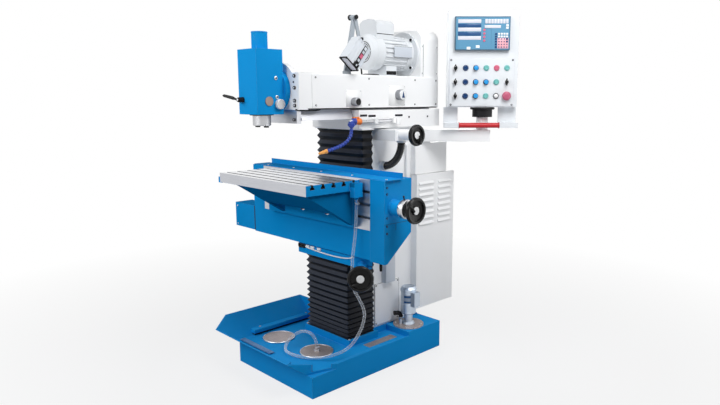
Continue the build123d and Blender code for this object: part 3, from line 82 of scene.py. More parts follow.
def colour(name, words, *rgb):
    """A colour that a user can change."""
    return FloatVectorProperty(
        name=name, description=words, subtype="COLOR", size=3, min=0, max=1, default=tint(*rgb),
    )


def length(name, words, size):
    """A length in metres that a user can change."""
    return FloatProperty(name=name, description=words, unit="LENGTH", default=size, min=0.0)


def count(name, words, number):
    """A number of like things that a user can change."""
    return IntProperty(name=name, description=words, default=number, min=1, max=200)


def value(name, words, number):
    """A plain number that a user can change."""
    return FloatProperty(name=name, description=words, default=number)


class MillColours(bpy.types.PropertyGroup):
    """Colours of the machine's paints, metals and plastics."""

    blue: colour("Blue enamel", "Paint of the head, knee, tables and base", 0, 146, 218)
    white: colour("White enamel", "Paint of the column, ram, cabinet and arm", 251, 252, 253)
    pendant: colour("Pendant enamel", "Paint of the pendant", 230, 234, 238)
    grey: colour("Grey enamel", "Paint of the motor", 226, 230, 234)
    silver: colour("Silver enamel", "Cable duct and motor plate", 206, 213, 222)
    red: colour("Red enamel", "Pendant bar", 196, 30, 40)
    ground: colour("Ground iron", "Slotted faces, ways and rails", 214, 216, 222)
    steel: colour("Turned steel", "Spindle, quill and screws", 206, 207, 210)
    knob: colour("Knob steel", "Knobs on the ram", 158, 160, 165)
    pump: colour("Pump silver", "Coolant pump", 192, 203, 216)
    plate: colour("Rolled plate", "Sump covers and grate", 190, 176, 172)
    black: colour("Black plastic", "Handwheels, selectors, collars and cables", 18, 18, 20)
    conduit: colour("Conduit", "Ribbed conduit", 14, 15, 18)
    cloth: colour("Way cover cloth", "Pleated way covers", 13, 17, 25)
    hose: colour("Clear hose", "Drain hose", 222, 230, 240)
    links: colour("Coolant links", "Jointed coolant hose", 24, 60, 160)
    orange: colour("Orange plastic", "Coolant tap", 240, 125, 30)
    amber: colour("Amber plastic", "Coolant nozzle", 244, 170, 84)
    lamp: colour("Lamp plastic", "Work light", 216, 221, 227)
    # The stem and arm are given a grey darker than the lamp's as painted shade.
    stem: colour("Lamp stem", "Stem and arm of the work light", 160, 168, 176)
    screen: colour("Readout", "Face of the readout", 78, 138, 172)
    navy: colour("Navy plastic", "Flush buttons and readout bars", 4, 54, 104)
    sky: colour("Blue plastic", "Raised buttons", 30, 150, 220)
    teal: colour("Green plastic", "Start buttons", 108, 186, 182)
    rose: colour("Red plastic", "Stop buttons", 205, 95, 125)
    stop: colour("Stop plastic", "Large stop button", 185, 85, 115)


class MillSizes(bpy.types.PropertyGroup):
    """Sizes and counts of the fine pieces."""

    lower_pleats: count("Lower pleats", "Folds of the lower way cover", 14)
    upper_pleats: count("Upper pleats", "Folds of the upper way cover", 6)
    pleat_depth: length("Pleat depth", "How far a fold goes in", 0.010)
    cloth_wall: length("Cloth", "Thickness of the way cover cloth", 0.0024)
    hose_diameter: length("Drain hose", "Outer diameter of the drain hose", 0.015)
    hose_bore: length("Drain hose bore", "Inner diameter of the drain hose", 0.011)
    conduit_diameter: length("Conduit", "Outer diameter of the ribbed conduit", 0.040)
    conduit_ribs: count("Conduit ribs", "Ribs of the conduit", 26)
    link_diameter: length("Coolant links", "Outer diameter of the jointed hose", 0.019)
    links: count("Links", "Links of the jointed hose", 13)
    dial_marks: count("Dial marks", "Marks round the feed dial", 50)


class MillStage(bpy.types.PropertyGroup):
    """Camera, lamps and floor."""

    camera_at: FloatVectorProperty(
        name="Camera", description="Where the camera stands", subtype="XYZ", unit="LENGTH",
        default=(2.4971, -2.1649, 1.4),
    )
    camera_turn: FloatVectorProperty(
        name="Camera turn", description="Which way the camera looks", subtype="EULER",
        default=(math.radians(80.51), 0.0, math.radians(45.0)),
    )
    lens: value("Lens", "Focal length in millimetres", 31.25)
    shift: value("Shift", "Sideways shift of the picture", -25 / 720)
    floor: colour("Floor", "Pale floor", 200, 202, 206)
    daylight: value("Soft light", "Strength of the light from all round", 0.05)
    left: value("Left lamp", "Power of the lamp at the left front, in watts", 33.0)
    front: value("Front lamp", "Power of the lamp in front, in watts", 38.0)
    right: value("Right lamp", "Power of the lamp at the right, in watts", 37.0)
    rear: value("Rear lamp", "Power of the lamp beside the cabinet, in watts", 3.6)
    back: value("Back lamp", "Power of the lamp behind the machine, in watts", 26.0)


def sizes():
    return bpy.context.scene.mill_sizes


class Wire:
    """A shader socket that takes part in sums as a number does."""

    def __init__(self, wiring, socket):
        self.wiring = wiring
        self.socket = socket

    def sum(self, operation, first, second):
        return self.wiring.node("ShaderNodeMath", {"operation": operation}, {0: first, 1: second})

    def __add__(self, other):
        return self.sum("ADD", self, other)

    def __sub__(self, other):
        return self.sum("SUBTRACT", self, other)

    def __rsub__(self, other):
        return self.sum("SUBTRACT", other, self)

    def __mul__(self, other):
        return self.sum("MULTIPLY", self, other)

    def __gt__(self, other):
        return self.sum("GREATER_THAN", self, other)

    def __lt__(self, other):
        return self.sum("LESS_THAN", self, other)

    def __or__(self, other):
        return self.sum("MAXIMUM", self, other)

    def __abs__(self):
        return self.sum("ABSOLUTE", self, 0.0)

    __radd__ = __add__


class Wiring:
    """The shader nodes of a material or of the world."""

    def __init__(self, tree):
        self.tree = tree

    def join(self, socket, value):
        """Link a wire to a socket, or set the socket's own value."""
        if isinstance(value, Wire):
            self.tree.links.new(value.socket, socket)
        elif socket.type == "RGBA":
            socket.default_value = (*value[:3], 1.0)
        else:
            socket.default_value = value

    def node(self, kind, settings=(), sockets=(), out=0):
        """Any node: its type, its settings, its sockets' values or links, and the output that is used."""
        made = self.tree.nodes.new(kind)
        for name, value in dict(settings).items():
            setattr(made, name, value)
        for name, value in dict(sockets).items():
            self.join(made.inputs[name], value)
        return Wire(self, made.outputs[out])

    def outlets(self, wire):
        """All the outputs of the node that a wire comes from, by name."""
        return {socket.name: Wire(self, socket) for socket in wire.socket.node.outputs}


class Finish(Wiring):
    """A material that is put together node by node."""

    def __init__(self, name, **fixed):
        self.material = bpy.data.materials.new(name)
        self.material.use_nodes = True
        super().__init__(self.material.node_tree)
        self.shader = self.tree.nodes["Principled BSDF"]
        self.surface(**fixed)

    def surface(self, **links):
        """Feed the shader and hand over the material."""
        for socket, value in links.items():
            self.join(self.shader.inputs[socket.replace("_", " ")], value)
        return self.material

    def coordinate(self, kind):
        """The point on the piece (Object), the way its surface looks (Normal) or its UV."""
        return self.node("ShaderNodeTexCoord", out=kind)

    def axes(self, kind):
        """The three parts of a coordinate."""
        split = self.node("ShaderNodeSeparateXYZ", sockets={0: self.coordinate(kind)})
        return list(self.outlets(split).values())

    def noise(self, scale, detail=2.0, stretch=(1, 1, 1)):
        """Cloudy noise at a scale per metre, stretched along the axes."""
        spot = self.node(
            "ShaderNodeMapping", sockets={"Vector": self.coordinate("Object"), "Scale": stretch},
        )
        return self.node("ShaderNodeTexNoise", sockets={"Vector": spot, "Scale": scale, "Detail": detail})

    def fraction(self, value):
        """What is left of a number above its whole part."""
        return self.node("ShaderNodeMath", {"operation": "FRACT"}, {0: value})

    def mix(self, share, first, second):
        """One colour going over into another."""
        return self.node("ShaderNodeMix", {"data_type": "RGBA"}, {0: share, 6: first, 7: second}, out=2)

    def soften(self, radius):
        """A normal that rounds the piece's sharp edges."""
        return self.node("ShaderNodeBevel", {"samples": 4}, {"Radius": radius})

    def edges(self, softened):
        """A mask of the edges that were rounded."""
        flat = self.node("ShaderNodeNewGeometry", out="Normal")
        dot = {"operation": "DOT_PRODUCT"}
        along = self.node("ShaderNodeVectorMath", dot, {0: softened, 1: flat}, out="Value")
        limits = {"Value": 1.0 - along, "From Min": 0.01, "From Max": 0.2}
        return self.node("ShaderNodeMapRange", sockets=limits)

    def bump(self, height, distance, normal=None):
        """Relief from a height, in metres at its highest."""
        sockets = {"Height": height, "Distance": distance, "Strength": 1.0}
        if normal is not None:
            sockets["Normal"] = normal
        return self.node("ShaderNodeBump", sockets=sockets)


def deeper(rgb, share):
    """A colour taken towards black."""
    return tuple(c * share for c in rgb[:3])


def lighter(rgb, share):
    """A colour taken towards white."""
    return tuple(c + (1 - c) * share for c in rgb[:3])


def paint_of(paint):
    """A colour by its name, by its name and how dark it is made, or as it is."""
    if isinstance(paint, str):
        return getattr(bpy.context.scene.mill_colours, paint)
    return deeper(paint_of(paint[0]), paint[1]) if len(paint) == 2 else paint


def band(value, low, high):
    """One between two limits and nought outside them."""
    return (value > low) * (value < high)


def enamel_parts(finish, paint):
    """Satin machine paint: cloudy shade, dust on what looks up, edges lightened as rubbed wear and as a
    painted highlight, and a fine skin.
    """
    softened = finish.soften(0.0022)
    cloud = finish.noise(3.0, 4.0)
    up = finish.axes("Normal")[2]
    dust = finish.noise(14.0, 6.0) * (up > 0.7)
    shade = finish.mix(cloud, deeper(paint, 0.92), lighter(paint, 0.012))
    shade = finish.mix(dust * 0.06, shade, lighter(deeper(paint, 0.8), 0.25))
    # Edges are lightened in spots: partly rubbed wear, partly a painted highlight along the edges.
    rub_and_highlight = finish.edges(softened) * finish.noise(55.0, 5.0)
    shade = finish.mix(rub_and_highlight * 0.45, shade, lighter(paint, 0.35))
    skin = finish.bump(finish.noise(260.0, 2.0), 0.00010, softened)
    return shade, 0.30 + cloud * 0.10 + dust * 0.12, skin


def ground_parts(finish, metal):
    """Ground metal: fine lines along X, with a few dull oily clouds, and faces that look up lightened as a
    painted highlight.
    """
    stretch = (0.015, 1.0, 1.0)
    lines = finish.noise(900.0, 3.0, stretch)
    broad = finish.noise(160.0, 2.0, stretch)
    oil = finish.noise(9.0, 5.0)
    shade = finish.mix(lines, deeper(metal, 0.62), metal)
    shade = finish.mix(oil * 0.35, shade, deeper(metal, 0.55))
    # Painted highlight: faces that look up are made lighter.
    shade = finish.mix((finish.axes("Normal")[2] > 0.9) * 0.6, shade, lighter(metal, 0.85))
    relief = finish.bump(lines, 0.00006, finish.soften(0.0012))
    return shade, 0.24 + broad * 0.16 + oil * 0.10, relief


def enamel(name, paint, gloss=0.0):
    finish = Finish(name, Specular_IOR_Level=gloss, Coat_Weight=0.05)
    shade, rough, skin = enamel_parts(finish, paint)
    return finish.surface(Base_Color=shade, Roughness=rough, Normal=skin)


def casting(name, paint, where, gloss=0.0, shade_where=None, metal="ground"):
    """Painted casting whose machined faces are bare; where gives their mask, and the mask after gloss, if any,
    the places darkened as painted shade.
    """
    metal = paint_of(metal)
    finish = Finish(name, Specular_IOR_Level=gloss)
    shade, rough, skin = enamel_parts(finish, paint)
    bare_shade, bare_rough, relief = ground_parts(finish, metal)
    spot = finish.axes("Object")
    bare = where(finish, *spot)
    # Painted shade: the shade mask darkens the paint and the bare metal.
    if shade_where:
        shade_mask = shade_where(finish, *spot)
        shade = finish.mix(shade_mask * 0.7, shade, deeper(paint, 0.25))
        bare_shade = finish.mix(shade_mask * 0.85, bare_shade, deeper(metal, 0.10))
    normal = finish.node("ShaderNodeMix", {"data_type": "VECTOR"}, {0: bare, 4: skin, 5: relief}, out=1)
    return finish.surface(
        Base_Color=finish.mix(bare, shade, bare_shade), Roughness=rough + bare * (bare_rough - rough),
        Metallic=bare, Normal=normal,
    )


def moulded(name, plastic, rough=0.35, gloss=0.5, grain=0.00005):
    """Moulded plastic or black stove enamel: a faint grain, and edges lightened as rubbed wear and as a
    painted highlight.
    """
    finish = Finish(name, Specular_IOR_Level=gloss)
    softened = finish.soften(0.0009)
    cloud = finish.noise(40.0, 4.0)
    shade = finish.mix(cloud * 0.35, plastic, lighter(plastic, 0.02))
    # Edges lightened: partly rubbed wear, partly a painted highlight.
    shade = finish.mix(finish.edges(softened) * 0.30, shade, lighter(plastic, 0.08))
    skin = finish.bump(finish.noise(900.0, 2.0), grain, softened)
    return finish.surface(Base_Color=shade, Roughness=rough + cloud * 0.12, Normal=skin)


def bright(name, metal, rough=0.22):
    """Turned bright steel with a little haze."""
    finish = Finish(name, Metallic=1.0)
    haze = finish.noise(120.0, 4.0)
    return finish.surface(
        Base_Color=finish.mix(haze, deeper(metal, 0.78), metal), Roughness=rough + haze * 0.14,
        Normal=finish.bump(finish.noise(700.0, 2.0), 0.00003, finish.soften(0.0008)),
    )


def woven(name, cloth):
    """Coated cloth: a fine weave, with a painted highlight on the folds' upper sides and painted shade beneath
    them and at the sides.
    """
    finish = Finish(name, Specular_IOR_Level=0.16)
    side, _, up = finish.axes("Normal")
    weave = 0.0
    for way in ("X", "Z"):
        settings = {"wave_type": "BANDS", "bands_direction": way}
        sockets = {"Scale": 260.0, "Vector": finish.coordinate("Object")}
        weave = finish.node("ShaderNodeTexWave", settings, sockets, out=1) + weave
    scuff = finish.noise(22.0, 6.0)
    shade = finish.mix(scuff, deeper(cloth, 0.7), lighter(cloth, 0.008))
    # Painted highlight on faces that look up; painted shade on faces that look down and on the sides.
    shade = finish.mix((up > 0.2) * 0.8, shade, tuple(c * 4 for c in cloth))
    shade = finish.mix((up < -0.2) * 0.8, shade, deeper(cloth, 0.25))
    shade = finish.mix((abs(side) > 0.5) * 0.75, shade, deeper(cloth, 0.25))
    return finish.surface(
        Base_Color=shade, Roughness=0.34 + scuff * 0.20, Normal=finish.bump(weave, 0.00008),
    )


def braided(name, clear):
    """Clear hose with a crossed thread and bright rims; U runs along it and V round it."""
    finish = Finish(name, IOR=1.42)
    u, v, _ = finish.axes("UV")
    rim = finish.node("ShaderNodeLayerWeight", sockets={"Blend": 0.45}, out="Facing")
    one, two = (finish.fraction(u * 110.0 + v * turns) < 0.16 for turns in (6.0, -6.0))
    threads = one | two
    return finish.surface(
        Base_Color=finish.mix(threads, clear, (0.90, 0.92, 0.96)), Roughness=0.10 + threads * 0.35,
        Alpha=0.05 + rim * rim * 0.95 + threads * 0.08, Normal=finish.bump(threads, 0.0003),
    )


def perforated(name, metal):
    """Rolled plate with rows of small round holes."""
    finish = Finish(name, Metallic=0.75)
    x, y, _ = finish.axes("Object")
    across, along = (finish.fraction(part * 125.0) - 0.5 for part in (x, y))
    hole = (across * across + along * along) < 0.06
    cloud = finish.noise(30.0, 5.0)
    shade = finish.mix(cloud, deeper(metal, 0.7), lighter(metal, 0.08))
    return finish.surface(
        Base_Color=finish.mix(hole * 0.75, shade, deeper(metal, 0.14)), Roughness=0.42 + cloud * 0.2,
        Normal=finish.bump(1.0 - hole, 0.0012, finish.soften(0.001)),
    )


def glazed(name, tone):
    """A dark or pale window behind clear glass."""
    finish = Finish(name, Specular_IOR_Level=0.15, Coat_Weight=0.15, Coat_Roughness=0.03)
    cloud = finish.noise(18.0, 3.0)
    shade = finish.mix(cloud, deeper(tone, 0.92), lighter(tone, 0.05))
    return finish.surface(Base_Color=shade, Roughness=0.06 + cloud * 0.05)


def table_faces(finish, x, y, z):
    """Bare metal of the work table: its top, front edge and slots."""
    across = abs(finish.axes("Normal")[0])
    return (z > 0.9605) * (across < 0.5) * band(x, -0.4505, 0.2865)


def table_painted_shade(finish, x, y, z):
    """Places of the work table darkened with painted shade: inside its slots, on what looks down and on the
    faces that look sideways below its top.
    """
    across, _, up = finish.axes("Normal")
    slots = band(z, 0.9805, 1.0097) * band(y, -0.4325, -0.1505) * (abs(across) < 0.5)
    under = (z < 0.9605) * (x < 0.2855)
    return slots | (under * (up < -0.1)) | (under * (abs(across) > 0.5) * 0.8)


def slotted_face(finish, x, y, z):
    """Bare metal of the vertical table: its pad, slots and the grooves at the back."""
    pad = (y < -0.1085) * band(z, 0.7675, 1.0175) * (x > -0.5215)
    grooves = band(z, 0.6585, 0.7015) | band(z, 0.9365, 0.9795)
    return pad | (grooves * band(y, -0.0625, -0.0405))


def knee_rails(finish, x, y, z):
    """Bare metal of the knee: its rails and the faces on the column's ways."""
    return ((y < -0.0385) * (z > 0.6121)) | (band(y, 0.0355, 0.0975) * band(x, -0.1345, 0.1345))


def column_ways(finish, x, y, z):
    """Bare metal of the column: its ways."""
    return y < 0.0995


def ram_slide(finish, x, y, z):
    """Bare metal of the ram: its dovetail and the chin under its nose."""
    return z < 1.3455


def spindle_keys(finish, x, y, z):
    """Bare metal of the spindle: all above its nose."""
    return z > 1.2715


# Each finish: how it is made, its colour, and what else it takes.
FINISHES = {
    "blue_enamel": (enamel, "blue"),
    "white_enamel": (enamel, "white", 0.3),
    "pendant_enamel": (enamel, "pendant", 0.2),
    "grey_enamel": (enamel, "grey", 0.3),
    "silver_enamel": (enamel, "silver", 0.4),
    "red_enamel": (enamel, "red", 0.3),
    "table_iron": (casting, "blue", table_faces, 0.0, table_painted_shade),
    "face_iron": (casting, "blue", slotted_face),
    "knee_iron": (casting, "blue", knee_rails),
    "column_iron": (casting, "white", column_ways, 0.3),
    "ram_iron": (casting, "white", ram_slide, 0.3),
    "spindle_nose": (casting, "black", spindle_keys, 0.0, None, "steel"),
    "turned_steel": (bright, "steel"),
    "knob_steel": (bright, "knob", 0.30),
    "pump_silver": (bright, "pump", 0.30),
    "black_oxide": (bright, (0.03, 0.03, 0.035), 0.34),
    "rolled_plate": (perforated, "plate"),
    "sight_plate": (perforated, tint(150, 130, 120)),
    "strainer_blue": (perforated, tint(96, 142, 190)),
    "black_plastic": (moulded, "black", 0.36, 0.15),
    "wheel_black": (moulded, ("black", 0.6), 0.18, 0.18, 0.00002),
    "conduit_black": (moulded, "conduit", 0.16),
    "way_cloth": (woven, "cloth"),
    "clear_hose": (braided, "hose"),
    "link_blue": (moulded, "links", 0.30),
    "tap_orange": (moulded, "orange", 0.32),
    "nozzle_amber": (moulded, "amber", 0.32),
    "lamp_white": (moulded, "lamp", 0.34, 0.2),
    # Stem and arm: a darker grey than the lamp, as painted shade.
    "lamp_grey": (moulded, "stem", 0.40, 0.2),
    "readout_face": (moulded, "screen", 0.38),
    "readout_edge": (moulded, ("screen", 0.45), 0.38),
    "navy_plastic": (moulded, "navy", 0.25, 0.25),
    "sky_plastic": (moulded, "sky", 0.22),
    "teal_plastic": (moulded, "teal", 0.25),
    "rose_plastic": (moulded, "rose", 0.28),
    "stop_plastic": (moulded, "stop", 0.28),
    "pale_plastic": (moulded, (0.84, 0.85, 0.86), 0.22),
    "pale_window": (glazed, tint(216, 217, 226)),
    "dark_window": (glazed, tint(0, 72, 126)),
    "pump_plate": (glazed, tint(150, 164, 180)),
    "rose_window": (glazed, tint(240, 176, 188)),
}
NODE_FINISH = {
    "blue_enamel": ("base", "lift_box", "end_bracket", "chip_guard", "head"),
    "white_enamel": ("cabinet", "saddle", "cross_feed_box", "drive_cover", "pendant_arm"),
    "pendant_enamel": ("pendant_box",),
    "grey_enamel": ("motor",),
    "lamp_grey": ("lamp_stem", "lamp_arm"),
    "column_iron": ("column",),
    "ram_iron": ("ram",),
    "table_iron": ("work_table",),
    "face_iron": ("vertical_table",),
    "knee_iron": ("knee",),
    "pump_silver": ("coolant_pump",),
    "red_enamel": ("pendant_handle",),
    "rolled_plate": ("sump_covers",),
    "turned_steel": ("lift_screw", "quill", "head_knob", "coolant_pipe"),
    "knob_steel": ("speed_knob", "range_knob"),
    "spindle_nose": ("spindle",),
    "wheel_black": ("handwheel_cross", "handwheel_lift", "handwheel_long"),
    "black_plastic": ("pendant_collar",),
    "tap_orange": ("coolant_valve",),
    "lamp_white": ("lamp_head",),
    "readout_face": ("readout",),
}


def finish_of(name):
    """A finish by its name, made on first use."""
    label = "finish_" + name
    made = bpy.data.materials.get(label)
    if made is None:
        build, paint, *more = FINISHES[name]
        made = build(label, paint_of(paint), *more)
    return made


def looking(at, direction, up=UP):
    """A placement at a point whose Z looks along a direction."""
    ahead = Vector(direction).normalized()
    side = Vector(up).cross(ahead)
    if side.length < 1e-4:
        side = Vector(RIGHT)
    side.normalize()
    placement = Matrix((side, ahead.cross(side), ahead)).transposed().to_4x4()
    placement.translation = Vector(at)
    return placement


def facing(direction, *spots):
    """Placements at some points that all look along one direction."""
    return [looking(spot, direction) for spot in spots]


def pivot(joint):
    """Where a joint's axis lies, in millimetres."""
    return Vector(JOINTS[joint]["pos_m"]) / MM


def box_of(node):
    """The two corners of a solid's box, in millimetres."""
    return [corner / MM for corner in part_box(node)]


class Form:
    """A mesh that is given in millimetres, made in metres and then rides on a body."""

    def __init__(self):
        self.bm = bmesh.new()

    def skin(self, rows, closed=True, capped=True):
        """Faces between rows of points; a row is closed on itself or open."""
        rings = [[self.bm.verts.new(Vector(point) * MM) for point in row] for row in rows]
        for low, high in zip(rings, rings[1:]):
            for i in range(len(low) if closed else len(low) - 1):
                j = (i + 1) % len(low)
                self.bm.faces.new((low[i], low[j], high[j], high[i]))
        if capped:
            self.bm.faces.new(rings[0][::-1])
            self.bm.faces.new(rings[-1])
        return rings

    def lathe(self, profile, placement, steps=32, ring=False, flutes=0, flute=0.0):
        """(radius, height) points turned round the placement's Z; a third item makes a hexagon."""
        rings = []
        for radius, height, *six in profile:
            row = []
            for i in range(steps if radius else 1):
                turn = FULL_TURN * i / steps
                reach = radius
                if six:
                    reach *= math.cos(math.pi / 6) / math.cos(turn % (math.pi / 3) - math.pi / 6)
                if flutes and radius > flute * 4:
                    reach -= flute * (0.5 + 0.5 * math.cos(turn * flutes))
                spot = Vector((reach * math.cos(turn), reach * math.sin(turn), height))
                row.append(self.bm.verts.new(placement @ spot * MM))
            rings.append(row)
        pairs = list(zip(rings, rings[1:])) + ([(rings[-1], rings[0])] if ring else [])
        for low, high in pairs:
            for i in range(steps):
                j = (i + 1) % steps
                corners = (low[i % len(low)], low[j % len(low)], high[j % len(high)], high[i % len(high)])
                corners = list(dict.fromkeys(corners))
                if len(corners) > 2:
                    self.bm.faces.new(corners)
        if not ring:
            for row in (rings[0][::-1], rings[-1]):
                if len(row) > 1:
                    self.bm.faces.new(row)
        return self

    def block(self, low, high, placement=HERE, bevel=0.0):
        """A box between two corners of the placement, with rounded edges."""
        verts = bmesh.ops.create_cube(self.bm, size=1.0)["verts"]
        low, high = Vector(low), Vector(high)
        for vert in verts:
            share = vert.co + Vector((0.5, 0.5, 0.5))
            vert.co = placement @ Vector(a + (b - a) * s for a, b, s in zip(low, high, share)) * MM
        if bevel:
            self.round(list({edge for vert in verts for edge in vert.link_edges}), bevel)
        return self

    def round(self, edges, bevel):
        bmesh.ops.bevel(self.bm, geom=edges, offset=bevel * MM, segments=2, affect="EDGES", profile=0.5)

    def prism(self, outline, low, high, placement, bevel):
        """An outline of (x, y) pulled along the placement's Z, with its rim rounded."""
        rows = [[placement @ Vector((x, y, z)) for x, y in outline] for z in (low, high)]
        rim = self.skin(rows)[1]
        self.round([self.bm.edges.get((rim[i - 1], rim[i])) for i in range(len(outline))], bevel)
        return self

    def sweep(self, line, radius_at, sides=16, bore=0.0):
        """A tube along a line of points; radius_at takes the share of the way. A bore makes it hollow."""
        frames = steady_frames(line)

        def circle(spot, side, rise, radius):
            turns = (FULL_TURN * i / sides for i in range(sides))
            return [spot + side * (radius * math.cos(t)) + rise * (radius * math.sin(t)) for t in turns]

        rows = [circle(*spot, radius_at(i / (len(line) - 1))) for i, spot in enumerate(frames)]
        if bore:
            rows += [circle(*spot, bore) for spot in frames[::-1]]
        rings = self.skin(rows, capped=not bore)
        if bore:
            for i in range(sides):
                j = (i + 1) % sides
                self.bm.faces.new((rings[-1][i], rings[-1][j], rings[0][j], rings[0][i]))
        return self

    def piece(self, name, finish, body, slot=None, sharp=35.0):
        """Hand over the mesh as an object that rides on a body, or on none if body is None."""
        bmesh.ops.recalc_face_normals(self.bm, faces=self.bm.faces)
        mesh = bpy.data.meshes.new(name)
        self.bm.to_mesh(mesh)
        self.bm.free()
        mesh.shade_smooth()
        mesh.set_sharp_from_angle(angle=math.radians(sharp))
        mesh.materials.append(finish_of(finish) if isinstance(finish, str) else finish)
        made = bpy.data.objects.new(name, mesh)
        bpy.context.scene.collection.objects.link(made)
        if body:
            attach(made, body)
        return made


def turned(name, finish, body, places, outline, steps=32, slot=None, **kind):
    """One piece: an outline turned at each of some placements."""
    form = Form()
    for at in places:
        form.lathe(outline, at, steps, **kind)
    return form.piece(name, finish, body, slot)


def boxed(name, finish, body, pairs, bevel=0.0, at=HERE, slot=None):
    """One piece: a block between each pair of corners."""
    form = Form()
    for low, high in pairs:
        form.block(low, high, at, bevel)
    return form.piece(name, finish, body, slot)


def screws(name, finish, body, spots, direction, radius, height):
    """Cap screws with a hexagon socket, one piece for a row of them."""
    sink = radius * 0.55
    outline = (
        (radius, 0), (radius, height - radius * 0.12), (radius * 0.88, height), (radius * 0.6, height),
        (sink, height, 6), (sink, height * 0.35, 6), (0, height * 0.35),
    )
    return turned(name, finish, body, facing(direction, *spots), outline, 24)


def steady_frames(line):
    """Each point of a line with two side directions that don't twist."""
    frames = []
    side = None
    for i, spot in enumerate(line):
        ahead = (line[min(i + 1, len(line) - 1)] - line[max(i - 1, 0)]).normalized()
        if side is None:
            side = ahead.orthogonal()
        side = (side - ahead * side.dot(ahead)).normalized()
        frames.append((spot, side, ahead.cross(side)))
    return frames


def spline(name, route):
    """A smooth curve whose control points are the route's, in millimetres."""
    data = bpy.data.curves.new(name, "CURVE")
    data.dimensions = "3D"
    made = data.splines.new("NURBS")
    made.points.add(len(route) - 1)
    for point, spot in zip(made.points, route):
        point.co = (*(c * MM for c in spot), 1.0)
    made.order_u = 3
    made.use_endpoint_u = True
    return data


def line_of(name, route):
    """The points along a route's smooth curve, in millimetres."""
    data = spline(name, route)
    holder = bpy.data.objects.new(name, data)
    mesh = bpy.data.meshes.new_from_object(holder)
    line = [vert.co / MM for vert in mesh.vertices]
    bpy.data.objects.remove(holder)
    bpy.data.curves.remove(data)
    bpy.data.meshes.remove(mesh)
    return line


def distances(line):
    """How far each point of a line lies from its start, along the line."""
    reach = [0.0]
    for a, b in zip(line, line[1:]):
        reach.append(reach[-1] + (b - a).length)
    return reach


def even_line(name, route, steps):
    """Points set at even distances along a route's smooth curve."""
    line = line_of(name, route)
    reach = distances(line)
    spots = []
    k = 0
    for i in range(steps + 1):
        want = reach[-1] * i / steps
        while k < len(line) - 2 and reach[k + 1] < want:
            k += 1
        share = (want - reach[k]) / (reach[k + 1] - reach[k])
        spots.append(line[k].lerp(line[k + 1], share))
    return spots


def cable(name, route, diameter, finish, body):
    """A thin pipe or cable that is fixed along a route."""
    data = spline(name, route)
    data.bevel_depth = diameter * MM / 2
    data.bevel_resolution = 4
    data.use_fill_caps = True
    data.materials.append(finish_of(finish))
    made = bpy.data.objects.new(name, data)
    bpy.context.scene.collection.objects.link(made)
    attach(made, body)


class MILL_OT_finishes(bpy.types.Operator):
    """Give each solid of the machine its finish"""

    bl_idname = "mill.finishes"
    bl_label = "Finishes"

    def execute(self, context):
        for name, nodes in NODE_FINISH.items():
            for node in nodes:
                NODES[node].data.materials.clear()
                NODES[node].data.materials.append(finish_of(name))
        return {"FINISHED"}


class MILL_OT_way_covers(bpy.types.Operator):
    """Make the pleated way covers above and below the knee"""

    bl_idname = "mill.way_covers"
    bl_label = "Way covers"

    steps = 6
    corner = 6.0
    sag = 1.6

    def sleeve(self, name, node, pleats, ease):
        """A folded cloth sleeve, open at the back, in the box of its solid."""
        low, high = box_of(node)
        rows = []
        for i in range(pleats * 2 * self.steps + 1):
            fold = i / self.steps
            into = abs((fold + 1) % 2 - 1)
            into = 0.55 * into + 0.45 * (0.5 - 0.5 * math.cos(math.pi * into))
            bead = max(0.0, 1.0 - 5.0 * into) * 1.2
            z = low.z + (high.z - low.z) * (fold / (2 * pleats)) ** ease
            rows.append((z, sizes().pleat_depth / MM * into - bead))
        form = Form()
        outer, inner = (
            form.skin([self.plan(high.x - wall, low.y + wall, high.y, *row) for row in rows], False, False)
            for wall in (0.0, sizes().cloth_wall / MM)
        )
        hems = [(outer[k], inner[k]) for k in (0, -1)]
        hems += [([row[k] for row in outer], [row[k] for row in inner]) for k in (0, -1)]
        for a, b in hems:
            for i in range(len(a) - 1):
                form.bm.faces.new((a[i], a[i + 1], b[i + 1], b[i]))
        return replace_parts(form.piece(name, "way_cloth", None, "bellows_black", 60), node)

    def plan(self, half, front, rear, z, into):
        """The sleeve at one height: left side, front and right side, with rounded corners."""
        x, y, turn = half - into, front + into, self.corner
        plan = [(-x, rear), (-x, (rear + y) / 2), (-x, y + turn)]
        plan += [(-x + turn * 0.3, y + turn * 0.3), (-x + turn, y)]
        plan += [(-x + 2 * x * k / 8, y) for k in range(1, 8)]
        plan += [(-px, py) for px, py in reversed(plan[:5])]
        return [(px, py, z - self.sag * math.sin(math.pi * (px + x) / (2 * x))) for px, py in plan]

    def execute(self, context):
        lower = self.sleeve("way_cover_lower", "bellows_lower", sizes().lower_pleats, 1.25)
        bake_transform(lower)
        upper = self.sleeve("way_cover_upper", "bellows_upper", sizes().upper_pleats, 1.0)
        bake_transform(upper)
        return {"FINISHED"}


